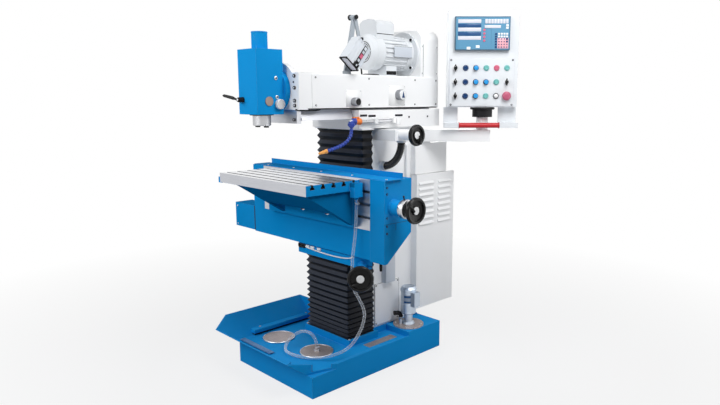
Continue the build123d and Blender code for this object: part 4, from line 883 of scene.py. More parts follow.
class MILL_OT_drain_hose(bpy.types.Operator):
    """Run the clear drain hose from the table's spout to the sump cover"""

    bl_idname = "mill.drain_hose"
    bl_label = "Drain hose"

    sides = 20
    top = (
        (303, -166, 916), (303, -166, 880), (302, -168, 818), (300, -171, 750), (295, -177, 684),
        (290, -185, 620), (290, -185, 530),
    )
    low = (
        (290, -185, 530), (290, -185, 480), (322, -164, 420), (346, -152, 360), (345, -165, 300),
        (332, -192, 238), (308, -228, 184), (262, -282, 149), (196, -340, 133), (112, -388, 128.5),
        (26, -400, 132), (-4, -386, 142), (-22, -360, 158), (-24, -330, 178), (-8, -304, 198),
        (24, -290, 214), (60, -281, 215), (88, -272, 199), (104, -267, 171), (104, -267, 136),
    )

    def hose(self, name, route, node):
        """A hollow hose along a route, with its own length and turn as UV."""
        line = line_of(name, route)
        radius, sides = sizes().hose_diameter / MM / 2, self.sides
        form = Form().sweep(line, lambda share: radius, sides, sizes().hose_bore / MM / 2)
        path = [spot * MM for spot in line]
        reach = distances(path)
        form.bm.verts.index_update()
        layer = form.bm.loops.layers.uv.new("run")
        for face in form.bm.faces:
            turns = [loop.vert.index % sides for loop in face.loops]
            seam = max(turns) - min(turns) > 1
            for loop, turn in zip(face.loops, turns):
                row = loop.vert.index // sides
                row = min(row, 2 * len(line) - 1 - row)
                loop[layer].uv = (reach[row], (turn + (sides if seam and turn == 0 else 0)) / sides)
        made = form.piece(name, "clear_hose", None, "clear_hose", 60)
        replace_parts(made, node)
        return made

    def clip(self, name, spot, body):
        """A worm clip: a thin band with a screw housing."""
        at = looking(spot, UP, (0, 1, 0.01))
        radius = sizes().hose_diameter / MM / 2
        ends = ((0.2, -4.5), (1.2, -4.5), (1.2, 4.5), (0.2, 4.5))
        form = Form().lathe([(radius + out, rise) for out, rise in ends], at, ring=True)
        form.block((radius - 1, -7, -5.5), (radius + 6, 7, 5.5), at, 1.5)
        screw = ((0, 0), (4.5, 0), (4.5, 5), (2.8, 6), (2.8, 26), (0, 26))
        form.lathe(screw, at @ looking((radius + 3, -16, 0), REAR), 12)
        form.piece(name, "turned_steel", body)

    def execute(self, context):
        upper = self.hose("drain_hose_upper", self.top, "drain_hose_top")
        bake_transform(upper)
        lower = self.hose("drain_hose_lower", self.low, "drain_hose_low")
        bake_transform(lower)
        self.clip("spout_clip", (303, -166, 900), "table")
        self.clip("sump_clip", (104, -267, 144), "frame")
        return {"FINISHED"}


class MILL_OT_conduit(bpy.types.Operator):
    """Make the ribbed conduit under the cross feed box"""

    bl_idname = "mill.conduit"
    bl_label = "Conduit"

    route = ((270, 181, 1181), (270, 181, 1139), (238, 178, 1079), (183, 175, 1045), (149, 175, 1045))

    def execute(self, context):
        ribs = sizes().conduit_ribs
        radius = sizes().conduit_diameter / MM / 2

        def ribbed(share):
            return radius - 3.6 * (0.5 + 0.5 * math.cos(FULL_TURN * share * ribs)) ** 2

        form = Form().sweep(even_line("conduit_line", self.route, ribs * 8), ribbed, 24, radius - 6)
        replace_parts(form.piece("conduit_ribbed", "conduit_black", "frame", "conduit_black", 60), "conduit")
        nuts = Form()
        for spot, ahead, rise in ((self.route[0], DOWN, 6), (self.route[-1], RIGHT, 14)):
            outline = ((20.6, -1), (24.8, -1), (24.8, rise), (23.6, rise + 2), (20.6, rise + 2))
            nuts.lathe(outline, looking(spot, ahead), 24, ring=True, flutes=12, flute=0.8)
        nuts.piece("conduit_nuts", "grey_enamel", "frame")
        return {"FINISHED"}


class MILL_OT_coolant_line(bpy.types.Operator):
    """Make the jointed coolant hose with its nozzle and tap"""

    bl_idname = "mill.coolant_line"
    bl_label = "Coolant line"

    route = (
        (200, -100, 1263), (200, -100, 1229), (195, -112, 1201), (180, -131, 1177), (158, -164, 1158),
        (134, -203, 1144),
    )
    bend = ((200, -75, 1285), (200, -90, 1285), (200, -100, 1285), (200, -100, 1274), (200, -100, 1259))
    nozzle = (
        (4, -4), (10.2, -3), (10.8, 0), (10.8, 7), (9.5, 10), (5.2, 43), (4.6, 44), (2.6, 44), (2.6, 6),
        (4, 4),
    )
    collar = ((8.8, 0), (15, 0), (16.8, 3), (17.2, 10), (16, 18), (14.2, 24), (14.2, 33), (8.8, 33))
    hexagon = ((15, 0, 6), (19, 1, 6), (19, 13, 6), (15, 14, 6))

    def execute(self, context):
        links = sizes().links
        line = even_line("link_line", self.route, links * 12)
        radius = sizes().link_diameter / MM / 2

        def link(share):
            step = (share * links) % 1.0
            bulge = 0.07 if step < 0.5 else 0.24
            return radius * (0.93 + bulge * math.sin(FULL_TURN * step))

        form = Form().sweep(line, link, 20, 4)
        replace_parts(form.piece("coolant_links", "link_blue", "frame", "coolant_blue", 40), "nozzle_hose")
        at = facing(line[-1] - line[-2], line[-1])
        turned("coolant_nozzle", "nozzle_amber", "frame", at, self.nozzle, 24, "valve_orange", ring=True)
        at = facing(FRONT, (200, -40, 1285))
        turned(
            "tap_collar", "tap_orange", "frame", at, self.collar, 24, "valve_orange",
            ring=True, flutes=8, flute=0.6,
        )
        elbow = Form().sweep(even_line("elbow_bend", self.bend, 24), lambda share: 14.5, 20)
        elbow.lathe(self.hexagon, looking((200, -100, 1278), DOWN), 24, ring=True)
        elbow.lathe(self.hexagon, looking((200, -76, 1285), FRONT), 24, ring=True)
        elbow.piece("coolant_elbow", "link_blue", "frame", "coolant_blue")
        post = [((184, 204, 1262), (216, 236, 1300))]
        boxed("pipe_post", "white_enamel", "frame", post, 4, slot="white_paint")
        return {"FINISHED"}


class MILL_OT_handwheels(bpy.types.Operator):
    """Dress the three handwheels with hub discs, folded handles and the feed dial"""

    bl_idname = "mill.handwheels"
    bl_label = "Handwheels"

    disc = ((18.8, 18.5), (18.8, 20.2), (17.6, 21.4), (6.6, 21.4), (6, 20.8), (6, 20.4), (0, 20.4))
    grip = (
        (0, 0), (4, 0), (4.6, 3), (4.2, 9), (5.8, 12), (6.4, 20), (5.6, 30), (6, 34), (4.8, 37.5), (0, 39),
    )
    boss = ((0, 20), (7.6, 20), (7.6, 31), (6.2, 34.2), (0, 34.2))
    dial = (
        (44, -62.2), (46.2, -59), (46.4, -57.5), (46.4, -36.5), (45.6, -34.5), (43.4, -31), (40, -29.8),
    )
    lock = ((0, 42), (3.4, 42), (3, 56), (3.2, 58), (5, 61), (5, 64), (3.2, 67), (0, 67.5))

    def dress(self, joint, turn, rim):
        """One handwheel's hub disc, grooves and folded crank handle; rim is the wheel's radius."""
        body = JOINTS[joint]["child"]
        wheel = looking(pivot(joint), JOINTS[joint]["axis"]) @ Matrix.Rotation(math.radians(turn), 4, "Z")
        turned(body + "_disc", "pale_plastic", body, [wheel], self.disc, 40)
        pin = rim - 10.5
        toward = wheel.to_3x3() @ Vector((-0.93, 0.30, -0.06))
        grip = Form().lathe(self.grip, looking(wheel @ Vector((pin, 0, 28.5)), toward), 20)
        grip.lathe(self.boss, wheel @ Matrix.Translation((pin, 0, 0)), 20)
        grip.piece(body + "_grip", "wheel_black", body)
        beads = Form()
        for low in (9.5, 18.5):
            outline = ((rim - 0.8, low), (rim + 0.4, low + 0.8), (rim + 0.4, low + 2.2), (rim - 0.8, low + 3))
            beads.lathe(outline, wheel, 64, ring=True)
        for share in (0.2, 0.5, 0.8):
            radius, base = 21 + share * (rim - 37), 12.8 + share * 4
            top = base + 1.4
            outline = ((radius, base), (radius + 0.6, top), (radius + 1.8, top), (radius + 2.4, base))
            beads.lathe(outline, wheel, 64, ring=True)
        beads.piece(body + "_rim_beads", "wheel_black", body)
        return wheel

    def execute(self, context):
        self.dress("lift_wheel_turn", 215, 62)
        self.dress("cross_wheel_turn", -70, 53)
        wheel = self.dress("long_wheel_turn", 150, 62)
        turned("feed_dial", "turned_steel", "handwheel_long", [wheel], self.dial, 64)
        marks = Form()
        for i in range(sizes().dial_marks):
            at = wheel @ Matrix.Rotation(FULL_TURN * i / sizes().dial_marks, 4, "Z")
            marks.block((46, -0.3, -57.2), (46.6, 0.3, -46.2 if i % 5 == 0 else -50.2), at)
        marks.piece("feed_dial_marks", "black_oxide", "handwheel_long")
        at = facing((0, -0.25, 1), wheel @ Vector((0, 0, -46)))
        turned("dial_lock", "black_oxide", "handwheel_long", at, self.lock, 20)
        return {"FINISHED"}


PANEL = Matrix((
    (0.70710678, 0, 0.70710678, 419.6005), (0.70710678, 0, -0.70710678, 664.9605), (0, 1, 0, 1607),
    (0, 0, 0, 1),
))
CONTROLS = (
    ("selector_a", "button_a", "button_d", "button_g", "button_j", "button_m"),
    ("selector_b", "button_b", "button_e", "button_h", "button_k", "selector_d"),
    ("selector_c", "button_c", "button_f", "button_i", "signal", "stop_button"),
)
# The caps of each finish, with the slot of their solids.
CAPS = {
    "navy_plastic": ("button_navy", "button_a", "button_b", "button_c"),
    "sky_plastic": ("button_blue", "button_d", "button_e", "button_f", "button_h"),
    "teal_plastic": ("button_green", "button_g", "button_i", "button_k", "button_m"),
    "rose_plastic": ("button_red", "button_j"),
    "stop_plastic": ("button_red", "stop_button"),
}


def panel_at(u, v, w=0.0):
    """A placement on the pendant's face: across, up and out."""
    return PANEL @ Matrix.Translation((u, v, w))


def framed(left, right, low, high, wide, base, top):
    """The four blocks of a frame on the pendant's face."""
    sides = (
        ((left, low), (left + wide, high)), ((right - wide, low), (right, high)),
        ((left, low), (right, low + wide)), ((left, high - wide), (right, high)),
    )
    return [((*a, base), (*b, top)) for a, b in sides]


class MILL_OT_controls(bpy.types.Operator):
    """Make the pendant's buttons, selectors, bezels and signal lamp"""

    bl_idname = "mill.controls"
    bl_label = "Controls"

    flush = ((0, -6), (11, -6), (11, 9.6), (10.4, 10.8), (9.4, 11.2), (7.5, 10.6), (0, 10))
    raised = (
        (0, -6), (11, -6), (11, 12.2), (12.6, 12.3), (12.8, 13.2), (12.4, 19), (11.2, 20.6), (7, 21.4),
        (0, 21.6),
    )
    mushroom = (
        (0, -6), (11, -6), (11, 14.2), (22.6, 14.2), (24, 15.2), (24.2, 19), (22.8, 23.4), (19, 26.6),
        (13, 28.4), (0, 29),
    )
    bezel = ((11.7, 3), (15.8, 3), (15.8, 5.2), (14.4, 7.8), (12.2, 8), (11.7, 7.4))
    lens = ((11.4, 6.8), (11.4, 9.6), (10.4, 12), (7.2, 14.4), (0, 15.4))
    skirt = ((8.2, -5), (11, -5), (11, 8.2), (10.4, 9.4), (8.2, 9.4))
    stem = ((0, -6), (8, -6), (8, 10), (0, 10))
    bar = ((0, -21), (9.5, -1.5), (9.5, 1.5), (0, 21), (-9.5, 1.5), (-9.5, -1.5))

    def selector(self, name, at):
        """A turning switch with a pointed bar and a pale mark."""
        turned(name + "_skirt", "pale_plastic", name, [at], self.skirt, ring=True)
        form = Form().lathe(self.stem, at, 24).prism(self.bar, 9.8, 20.5, at, 1.2)
        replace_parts(form.piece(name + "_knob", "black_plastic", name, "black_plastic"), name)
        boxed(name + "_mark", "pale_plastic", name, [((-0.7, 4, 20.3), (0.7, 11.5, 20.8))], 0.2, at)

    def cap(self, name, finish, slot, at):
        """A push button's cap."""
        outline = self.raised if finish == "sky_plastic" else self.flush
        if name == "stop_button":
            outline = self.mushroom
        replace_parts(turned(name + "_cap", finish, name, [at], outline, 40, slot), name)

    def execute(self, context):
        caps = {name: (finish, slot) for finish, (slot, *names) in CAPS.items() for name in names}
        bezels = {}
        for row, names in enumerate(CONTROLS):
            for column, name in enumerate(names):
                at = panel_at(-150 + 56 * column, -46 - 75 * row)
                if name in caps:
                    self.cap(name, *caps[name], at)
                    ring = caps[name][0].replace("sky", "black")
                elif name == "signal":
                    turned("signal_lens", "pale_plastic", "pendant", [at], self.lens)
                    ring = "black_oxide"
                else:
                    self.selector(name, at)
                    ring = "pale_plastic"
                bezels.setdefault(ring, []).append(at)
        for finish, places in bezels.items():
            turned("bezels_" + finish.split("_")[0], finish, "pendant", places, self.bezel, 36, ring=True)
        return {"FINISHED"}


class MILL_OT_readout(bpy.types.Operator):
    """Make the readout's windows and keys, with no words on them"""

    bl_idname = "mill.readout"
    bl_label = "Readout"

    rows = (131.8, 118, 105.2, 91.4, 77, 62.7)
    columns = (62.7, 78.5, 92.7, 107.4, 121.7)

    def keys(self, name, finish, spots, wide, high, rise=2.2):
        """Small raised keys at (u, v, w) places on the pendant's face."""
        form = Form()
        for spot in spots:
            form.block((-wide / 2, -high / 2, 0), (wide / 2, high / 2, rise), panel_at(*spot), 0.7)
        form.piece(name, finish, "pendant")

    def execute(self, context):
        keys = self.keys
        keys("readout_windows", "pale_window", [(-79.5, v, 20) for v in (198, 154.8, 110.5)], 123, 19, 1)
        keys("readout_bars", "dark_window", [(-79.5, v, 20) for v in (175, 132)], 123, 19.6, 1)
        keys("readout_row", "pale_window", [(9.9 + 15.8 * i, 197, 20) for i in range(8)], 13.4, 23, 3)
        keys("readout_strip", "pale_window", [(44, 169.5, 20)], 87, 15, 3)
        keys("readout_pair", "pale_plastic", [(121.8, v, 22) for v in (175.5, 162.5)], 13.5, 11)
        keys("readout_tiles", "pale_plastic", [(-83.5, 57, 21), (-34, 65, 20)], 20, 15, 2.6)
        places = [panel_at(0, 152 - 18.3 * i, 20) for i in range(4)]
        outline = ((6.4, 0), (6.4, 1.6), (5.6, 2.4), (0, 2.4))
        turned("readout_round", "rose_plastic", "pendant", places, outline, 24)
        keys("readout_pad", "rose_window", [(100.5, 83, 22)], 59, 54, 0.6)
        pad = {(r, c): (u, v, 22) for r, v in enumerate(self.rows) for c, u in enumerate(self.columns)}
        dark = [spot for (r, c), spot in pad.items() if c == 0 or (c == 4 and r in (2, 3))]
        pale = [spot for (r, c), spot in pad.items() if r < 2 and spot not in dark]
        small = [spot for spot in pad.values() if spot not in dark + pale]
        keys("readout_keys_dark", "navy_plastic", dark, 10.5, 9.5)
        keys("readout_keys_pale", "pale_plastic", pale, 10.5, 9.5)
        keys("readout_keys_small", "navy_plastic", small, 6, 5.5)
        rim = framed(-155.6, 138.6, 47.4, 222.6, 4.6, 0, 23.2)
        boxed("readout_rim", "readout_edge", "pendant", rim, 0.8, PANEL, "readout_blue")
        return {"FINISHED"}


class MILL_OT_pendant(bpy.types.Operator):
    """Make the pendant's screws, seals and bar ends"""

    bl_idname = "mill.pendant"
    bl_label = "Pendant"

    screw = ((5.2, 2.4), (5.2, 4.4), (4.2, 5.6), (2.6, 5.6), (2.4, 5.6, 6), (2.4, 3.8, 6), (0, 3.8))
    back_screw = ((5, 0), (5, 1.6), (4, 2.6), (2.4, 2.6, 6), (2.4, 1, 6), (0, 1))
    bar_collar = ((14.1, 0), (16.4, 0), (16.4, 5), (15.4, 6.4), (14.1, 6.4))
    brim = ((54.5, -14), (66, -12), (68, -6), (66, -0.5), (54.5, -0.5))

    def execute(self, context):
        places = [panel_at(u, v) for u in (-173, 161) for v in (-243, -4)]
        turned("panel_screws", "black_oxide", "pendant", places, self.screw, 24)
        seal = framed(-182.6, 170.6, -252.6, 6.6, 2.6, -0.2, 2.4)
        boxed("panel_seal", "pale_window", "pendant", seal, 0.4, PANEL)
        turn = PANEL.to_3x3()
        ends = ((-128, RIGHT), (96, LEFT))
        places = [looking(PANEL @ Vector((u, -355, 8)), turn @ Vector(way)) for u, way in ends]
        turned("bar_collars", "red_enamel", "pendant", places, self.bar_collar, 32, "handle_red", ring=True)
        low, high = box_of("pendant_collar")
        at = facing(UP, ((low.x + high.x) / 2, (low.y + high.y) / 2, high.z))
        turned("collar_brim", "black_plastic", "pendant", at, self.brim, 48, "black_plastic", ring=True)
        over = Matrix.Rotation(math.pi, 4, "X")
        places = [panel_at(u, v, -90) @ over for u in (-176, 176) for v in (-243, 243)]
        turned("back_screws", "turned_steel", "pendant", places, self.back_screw, 24)
        return {"FINISHED"}


class MILL_OT_work_light(bpy.types.Operator):
    """Dress the work light with its lens, switch strip and clamp screws"""

    bl_idname = "mill.work_light"
    bl_label = "Work light"

    bolt = ((0, -3), (5.5, -3), (5.5, 3.5), (4, 5), (0, 5))
    nut = ((0, 0), (8.5, 0, 6), (8.5, 6, 6), (7, 7.5), (0, 7.5))
    knob = ((0, 0), (12.5, 0), (14, 3), (14, 11), (12, 13.5), (0, 13.5))
    pin_cap = ((0, 0), (9.5, 0), (10.5, 2), (10.5, 7), (9, 8.5), (0, 8.5))

    def execute(self, context):
        lamp = Matrix((
            (1, 0, 0, 173.5), (0, -0.76604, -0.64279, -48), (0, 0.64279, -0.76604, 1613.4), (0, 0, 0, 1),
        ))

        def fitted(name, finish, pairs, bevel, slot=None):
            boxed(name, finish, "lamp_head", pairs, bevel, lamp, slot)

        fitted("lamp_lens", "pale_window", [((-21.2, -43.7, 59), (21.2, 43.7, 63))], 1)
        strip = [((26.8, -27, -58), (30, -6, 60)), ((26.8, -36, 46), (30.6, -1, 64.8))]
        fitted("lamp_switch_strip", "black_plastic", strip, 1.2, "black_plastic")
        fitted("lamp_rocker", "rose_plastic", [((29.6, -24.5, -8), (33, -8.5, 14))], 1.4, "button_red")
        keys = [((29.6, -24, -53), (31.4, -9, -36)), ((29.6, -23.5, 50), (31.4, -17, 60))]
        fitted("lamp_keys", "lamp_white", keys, 1, "lamp_white")
        greys = Form()
        for low in (-30, 20):
            greys.block((29.6, -23.5, low), (31, -9.5, low + 15), lamp, 1)
        greys.block((27, -48.5, -62), (28.4, -30, 44), lamp, 0.6)
        greys.piece("lamp_side_panel", "silver_enamel", "lamp_head")
        ribs = [((27, y - 2, -64), (29, y + 2, 64)) for y in (8, 27, 46)]
        fitted("lamp_ribs", "lamp_white", ribs, 0.6, "lamp_white")
        places = [lamp @ Matrix.Translation((x, y, 65.2)) for x in (-21.5, 21.5) for y in (-44, 44)]
        turned("lamp_bolts", "black_oxide", "lamp_head", places, self.bolt, 6)
        edges = [((-27.5, -50), (27.5, -44)), ((-27.5, 44), (27.5, 50))]
        edges += [((-27.5, -44), (-21.5, 44)), ((21.5, -44), (27.5, 44))]
        edges = [((*low, 63.5), (*high, 66.8)) for low, high in edges]
        fitted("lamp_frame", "black_plastic", edges, 0.4, "black_plastic")
        pin, elbow = pivot("lamp_tilt"), pivot("lamp_fold")
        at = facing(RIGHT, (150.2, pin.y, pin.z))
        turned("lamp_pin_nut", "black_oxide", "lamp_head", at, self.nut, 24)
        knob = Form()
        knob.lathe(self.knob, looking((104, elbow.y, elbow.z), LEFT), 36, flutes=12, flute=1.2)
        knob.lathe(self.pin_cap, looking((138.8, elbow.y, elbow.z), RIGHT), 36)
        knob.piece("lamp_clamp_knob", "black_plastic", "lamp_stem", "black_plastic")
        return {"FINISHED"}


class MILL_OT_ram(bpy.types.Operator):
    """Dress the ram and its two knobs"""

    bl_idname = "mill.ram"
    bl_label = "Ram"

    speed_face = ((16.5, 34.5), (16.5, 35.8), (15, 36.6), (7, 36.6), (6.2, 36), (0, 36))
    speed_grip = ((20.5, 4), (21.8, 5), (21.8, 29), (20.5, 31))
    range_face = ((25.5, 33.5), (25.5, 34.6), (24.5, 35.2), (0, 35.2))
    range_grip = ((27.3, 3), (28.1, 4), (28.1, 28), (27.3, 29))
    pointer = ((-10.8, -14.8), (10.8, -14.8), (0, 19))
    nose_route = (
        (138, -392, 1347), (148, -382, 1343), (154, -350, 1341.5), (154, -310, 1341), (152, -275, 1341),
        (148, -252, 1347),
    )

    def plate(self, name, low, high):
        """A thin plate on the ram's side with a screw in each corner."""
        boxed(name, "white_enamel", "ram", [((162.8, *low), (163.4, *high))], 0.2)
        spots = [(163.4, y, z) for y in (low[0] + 6, high[0] - 6) for z in (low[1] + 6, high[1] - 6)]
        screws(name + "_screws", "turned_steel", "ram", spots, RIGHT, 2.2, 1.2)

    def execute(self, context):
        spots = [(163, y, z) for y in (-290, 55, 400, 575) for z in (1366, 1496)]
        screws("ram_cover_screws", "black_oxide", "ram", spots, RIGHT, 4.3, 2.4)
        spots = [(129, -386, z) for z in (1501, 1447, 1388, 1366)] + [(122, -386, 1300)]
        screws("nose_screws", "black_oxide", "ram", spots, FRONT, 8.3, 6.6)
        screws("nose_plug", "black_oxide", "ram", [(121, -386, 1473)], FRONT, 4.5, 3)
        self.plate("speed_plate", (-102, 1356), (2, 1440))
        self.plate("range_plate", (196, 1360), (322, 1466))
        boxed("ram_seam", "black_plastic", "ram", [((159.7, -335, 1346.2), (161.2, 585, 1351.8))])
        at, body = facing(RIGHT, pivot("speed_select")), "speed_knob"
        kind = {"ring": True, "flutes": 24, "flute": 1}
        turned("speed_knob_grip", "knob_steel", body, at, self.speed_grip, 96, "knob_silver", **kind)
        turned("speed_knob_face", "black_plastic", body, at, self.speed_face, 40, "black_plastic")
        at, body = facing(RIGHT, pivot("range_select")), "range_knob"
        turned("range_knob_face", "pale_plastic", body, at, self.range_face, 48)
        pointer = Form().prism(self.pointer, 34, 36.6, at[0], 0.5)
        pointer.piece("range_knob_pointer", "navy_plastic", body, "button_navy")
        kind = {"ring": True, "flutes": 32, "flute": 0.6}
        turned("range_knob_grip", "knob_steel", body, at, self.range_grip, 96, "knob_silver", **kind)
        cable("nose_cable", self.nose_route, 7, "black_plastic", "ram")
        return {"FINISHED"}


class MILL_OT_motor(bpy.types.Operator):
    """Dress the motor and the belt cover"""

    bl_idname = "mill.motor"
    bl_label = "Motor"

    rivet = ((2.4, 0), (2.4, 0.8), (1.4, 1.4), (0, 1.4))
    gland = ((0, 0), (13, 0), (13, 8), (11, 10), (11, 18), (8.5, 21), (0, 21))
    motor_route = (
        (-64, 250, 1765), (-92, 250, 1764), (-112, 250, 1742), (-120, 252, 1690), (-124, 262, 1610),
        (-126, 272, 1550), (-126, 276, 1512),
    )
    ram_route = (
        (96, 60, 1512), (98, 76, 1520), (104, 110, 1520.4), (106, 150, 1520.2), (100, 190, 1520),
        (88, 204, 1512),
    )

    def execute(self, context):
        plate = Form().block((114, 288, 1616), (117.2, 424, 1672), HERE, 0.6)
        for y in (293, 419):
            for z in (1621, 1667):
                plate.lathe(self.rivet, looking((117.2, y, z), RIGHT), 12)
        plate.piece("motor_plate", "silver_enamel", "ram")
        seams = [((113.8, 286, z), (116.8, 426, z + 1.2)) for z in (1615, 1672.2)]
        seams += [((84.5, 188, 1732), (85.8, 312, 1735.5)), ((89, 253, 1523.5), (91.2, 327, 1543))]
        boxed("motor_seams", "black_plastic", "ram", seams)
        cowl, vents = Form(), Form()
        for low in (13.5, 66.5):
            outline = ((92, low), (94.2, low + 0.8), (94.2, low + 3), (92, low + 3.8))
            cowl.lathe(outline, looking((20, 160, 1640), REAR), 64, ring=True)
        cowl.piece("fan_cowl_beads", "grey_enamel", "ram", "white_paint")
        for radius in (22, 32, 42, 52):
            outline = ((radius, -1), (radius + 3.4, -1), (radius + 3.4, 0.6), (radius, 0.6))
            vents.lathe(outline, looking((20, 150.8, 1640), FRONT), 48, ring=True)
        vents.piece("fan_vents", "black_plastic", "ram")
        spots = [(x, 438, z) for x in (-55, 95) for z in (1565, 1715)]
        screws("motor_bolts", "black_oxide", "ram", spots, FRONT, 7.5, 5)
        at = facing(LEFT, (-45, 250, 1765))
        turned("motor_gland", "black_plastic", "ram", at, self.gland, 24, "black_plastic")
        cable("motor_cable", self.motor_route, 9, "black_plastic", "ram")
        cable("ram_cable", self.ram_route, 8, "black_plastic", "ram")
        front = box_of("drive_cover")[0].y + 20
        seam = [((149.5, front, 1516.5), (151.2, front + 1.5, 1690))]
        boxed("belt_cover_seam", "black_plastic", "ram", seam)
        spots = [(150, y, z) for y in (474, 594) for z in (1535, 1680)]
        screws("belt_cover_screws", "turned_steel", "ram", spots, RIGHT, 4.6, 2.6)
        return {"FINISHED"}


class MILL_OT_head(bpy.types.Operator):
    """Dress the milling head with its lever, sight disc and screws"""

    bl_idname = "mill.head"
    bl_label = "Head"

    sight = ((21.4, 0.5), (21.4, 3), (20.6, 3.6), (0, 3.6))
    rim = ((4.4, 0.4), (8.6, 0.4), (8.6, 2.4), (7.4, 3.2), (4.4, 3.2))
    well = ((4.6, 0.2), (4.6, 1.2), (0, 1.2))
    hub = ((0, 0.4), (13, 0.4), (13, 6), (11.6, 8), (11.6, 24), (10, 30), (0, 30.8))
    tail = ((0, -14), (6, -14), (6, 1), (0, 1))
    hub_screw = ((6.2, 30.2), (6.2, 31.6), (5, 32.6), (3, 32.6, 6), (3, 31.4, 6), (0, 31.4))
    lever_route = (
        (-40, -573, 1392), (-56, -574, 1391), (-76, -577, 1396), (-104, -581, 1403), (-161, -589, 1412),
    )
    grip = ((22.6, 2), (23.6, 3), (23.6, 13), (22.6, 14))
    face = ((22.4, 15), (22.4, 16.4), (21.2, 17.2), (0, 17.2))
    wiper = ((50.3, 0), (56, 0), (56, 4), (54.5, 5.5), (50.3, 5.5))
    bead = ((36.8, 694), (37.8, 694.5), (37.8, 698.5), (36.8, 699))

    def taper(self, share):
        """The lever's radius along its arm: thick, a waist, thin and a rounded end."""
        waist = 0.8 * math.sin(math.pi * min(share / 0.42, 1.0))
        return 9 - 4.6 * waist - 2.2 * share - 4 * max(0.0, share - 0.93) / 0.07

    def execute(self, context):
        turned("sight_disc", "sight_plate", "head", facing(RIGHT, (75, -492, 1385)), self.sight, 48)
        places = facing(RIGHT, (75, -452, 1490), (75, -448, 1404))
        turned("head_screw_rims", "turned_steel", "head", places, self.rim, ring=True)
        # Black discs inside the rims stand for the painted shade of the screw holes.
        turned("head_screw_wells", "black_plastic", "head", places, self.well, 6)
        hub = looking(pivot("quill_clamp"), FRONT)
        lever = Form().lathe(self.hub, hub)
        lever.sweep(even_line("lever_line", self.lever_route, 40), self.taper)
        lever.lathe(self.tail, hub, 20)
        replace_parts(lever.piece("clamp_lever", "black_plastic", "head_lever", "black_plastic"), "head_lever")
        turned("clamp_lever_screw", "turned_steel", "head_lever", [hub], self.hub_screw, 24)
        at = facing(RIGHT, pivot("quill_knob_turn"))
        kind = {"ring": True, "flutes": 36, "flute": 0.5}
        turned("quill_knob_grip", "pale_plastic", "head_knob", at, self.grip, 96, "knob_silver", **kind)
        turned("quill_knob_face", "pale_plastic", "head_knob", at, self.face, 48)
        at = facing(DOWN, (0, -484, 1325.5))
        turned("quill_wiper", "black_plastic", "head", at, self.wiper, 56, "black_plastic", ring=True)
        at = facing(UP, (0, -484, 1000))
        turned("cap_bead", "blue_enamel", "head", at, self.bead, 56, "blue_paint", ring=True)
        return {"FINISHED"}


class MILL_OT_table(bpy.types.Operator):
    """Fasten the tables, end bracket and chip guard"""

    bl_idname = "mill.table"
    bl_label = "Tables"

    washer = ((10, 0), (16, 0), (16, 2), (15.2, 2.6), (10, 2.6))
    fillet = ((35.8, 0), (40.5, 0), (40.5, 4), (37.8, 7.5), (35.8, 8))
    cover_screw = ((4.5, 0), (4.5, 1.8), (3.5, 2.8), (2, 2.8, 6), (2, 1, 6), (0, 1))
    seams = (
        ((456.5, -128.8, 808.5), (457.8, 56.2, 809.7)), ((456.5, -52, 775), (457.8, -50.8, 808.5)),
        ((-635.6, -130, 625.5), (-628.4, -128, 769.5)),
    )

    def execute(self, context):
        spots = [(x, -161, z) for x in (-390, -120, 80, 190) for z in (830, 893)]
        screws("table_bolts", "black_oxide", "table", spots, FRONT, 11.3, 13.4)
        turned("table_washers", "turned_steel", "table", facing(FRONT, *spots), self.washer, ring=True)
        spots = [(457, -111, z) for z in (985, 955, 840, 800, 765)]
        screws("bracket_screws", "black_oxide", "table", spots, RIGHT, 5.4, 3.4)
        spots = [(447 - 240 * i, -104, 1021) for i in range(5)]
        screws("guard_screws", "turned_steel", "table", spots, UP, 5.5, 3.4)
        low, high = box_of("chip_guard")
        line = [Vector((x, high.y - 1.5, high.z)) for x in (low.x + 32, 0, high.x)]
        hem = Form().sweep(line, lambda share: 2.4, 12)
        hem.piece("guard_hem", "blue_enamel", "table", "blue_paint")
        boxed("table_seams", "black_plastic", "table", self.seams)
        at = facing(RIGHT, (457, -66, 888))
        turned("boss_fillet", "blue_enamel", "table", at, self.fillet, 48, "blue_paint", ring=True)
        at = facing(FRONT, (-818, -129, 640), (-818, -129, 750))
        turned("screw_cover_screws", "turned_steel", "table", at, self.cover_screw, 24)
        return {"FINISHED"}


class MILL_OT_knee(bpy.types.Operator):
    """Add the oil pipe, cables and clamp lever of the knee"""

    bl_idname = "mill.knee"
    bl_label = "Knee"

    oil_route = (
        (-168, -114, 602), (-160, -121, 600), (-110, -122, 596), (0, -122, 590), (110, -121, 590),
        (180, -120, 596), (212, -119, 604), (218, -114, 610),
    )
    cable_route = (
        (-228, -114, 606), (-222, -121, 600), (-210, -122, 588), (-196, -122, 604), (-184, -122, 590),
        (-172, -121, 603), (-162, -114, 604),
    )
    clamp = ((0, 0), (10, 0), (10, 8), (5.2, 12), (5, 64), (7.8, 68), (8.4, 90), (7, 112), (0, 114))

    def execute(self, context):
        cable("oil_pipe", self.oil_route, 7, "pale_plastic", "knee")
        cable("knee_cable", self.cable_route, 8, "black_plastic", "knee")
        blocks = [((x, -121.5, 598), (x + 30, -114, 611)) for x in (-158, -118, -62)]
        boxed("oil_blocks", "pale_plastic", "knee", blocks, 1.2)
        # A black plate stands for the painted shade in the knee's recess.
        boxed("knee_recess", "black_plastic", "knee", [((-229.5, -116.2, 590), (-166, -114.6, 611.6))])
        at = facing(DOWN, (228, 74, 612))
        turned("knee_clamp", "black_plastic", "knee", at, self.clamp, 20, "black_plastic")
        screws("gearbox_screws", "black_oxide", "knee", [(292, -61, z) for z in (562, 600)], RIGHT, 4.6, 3)
        return {"FINISHED"}


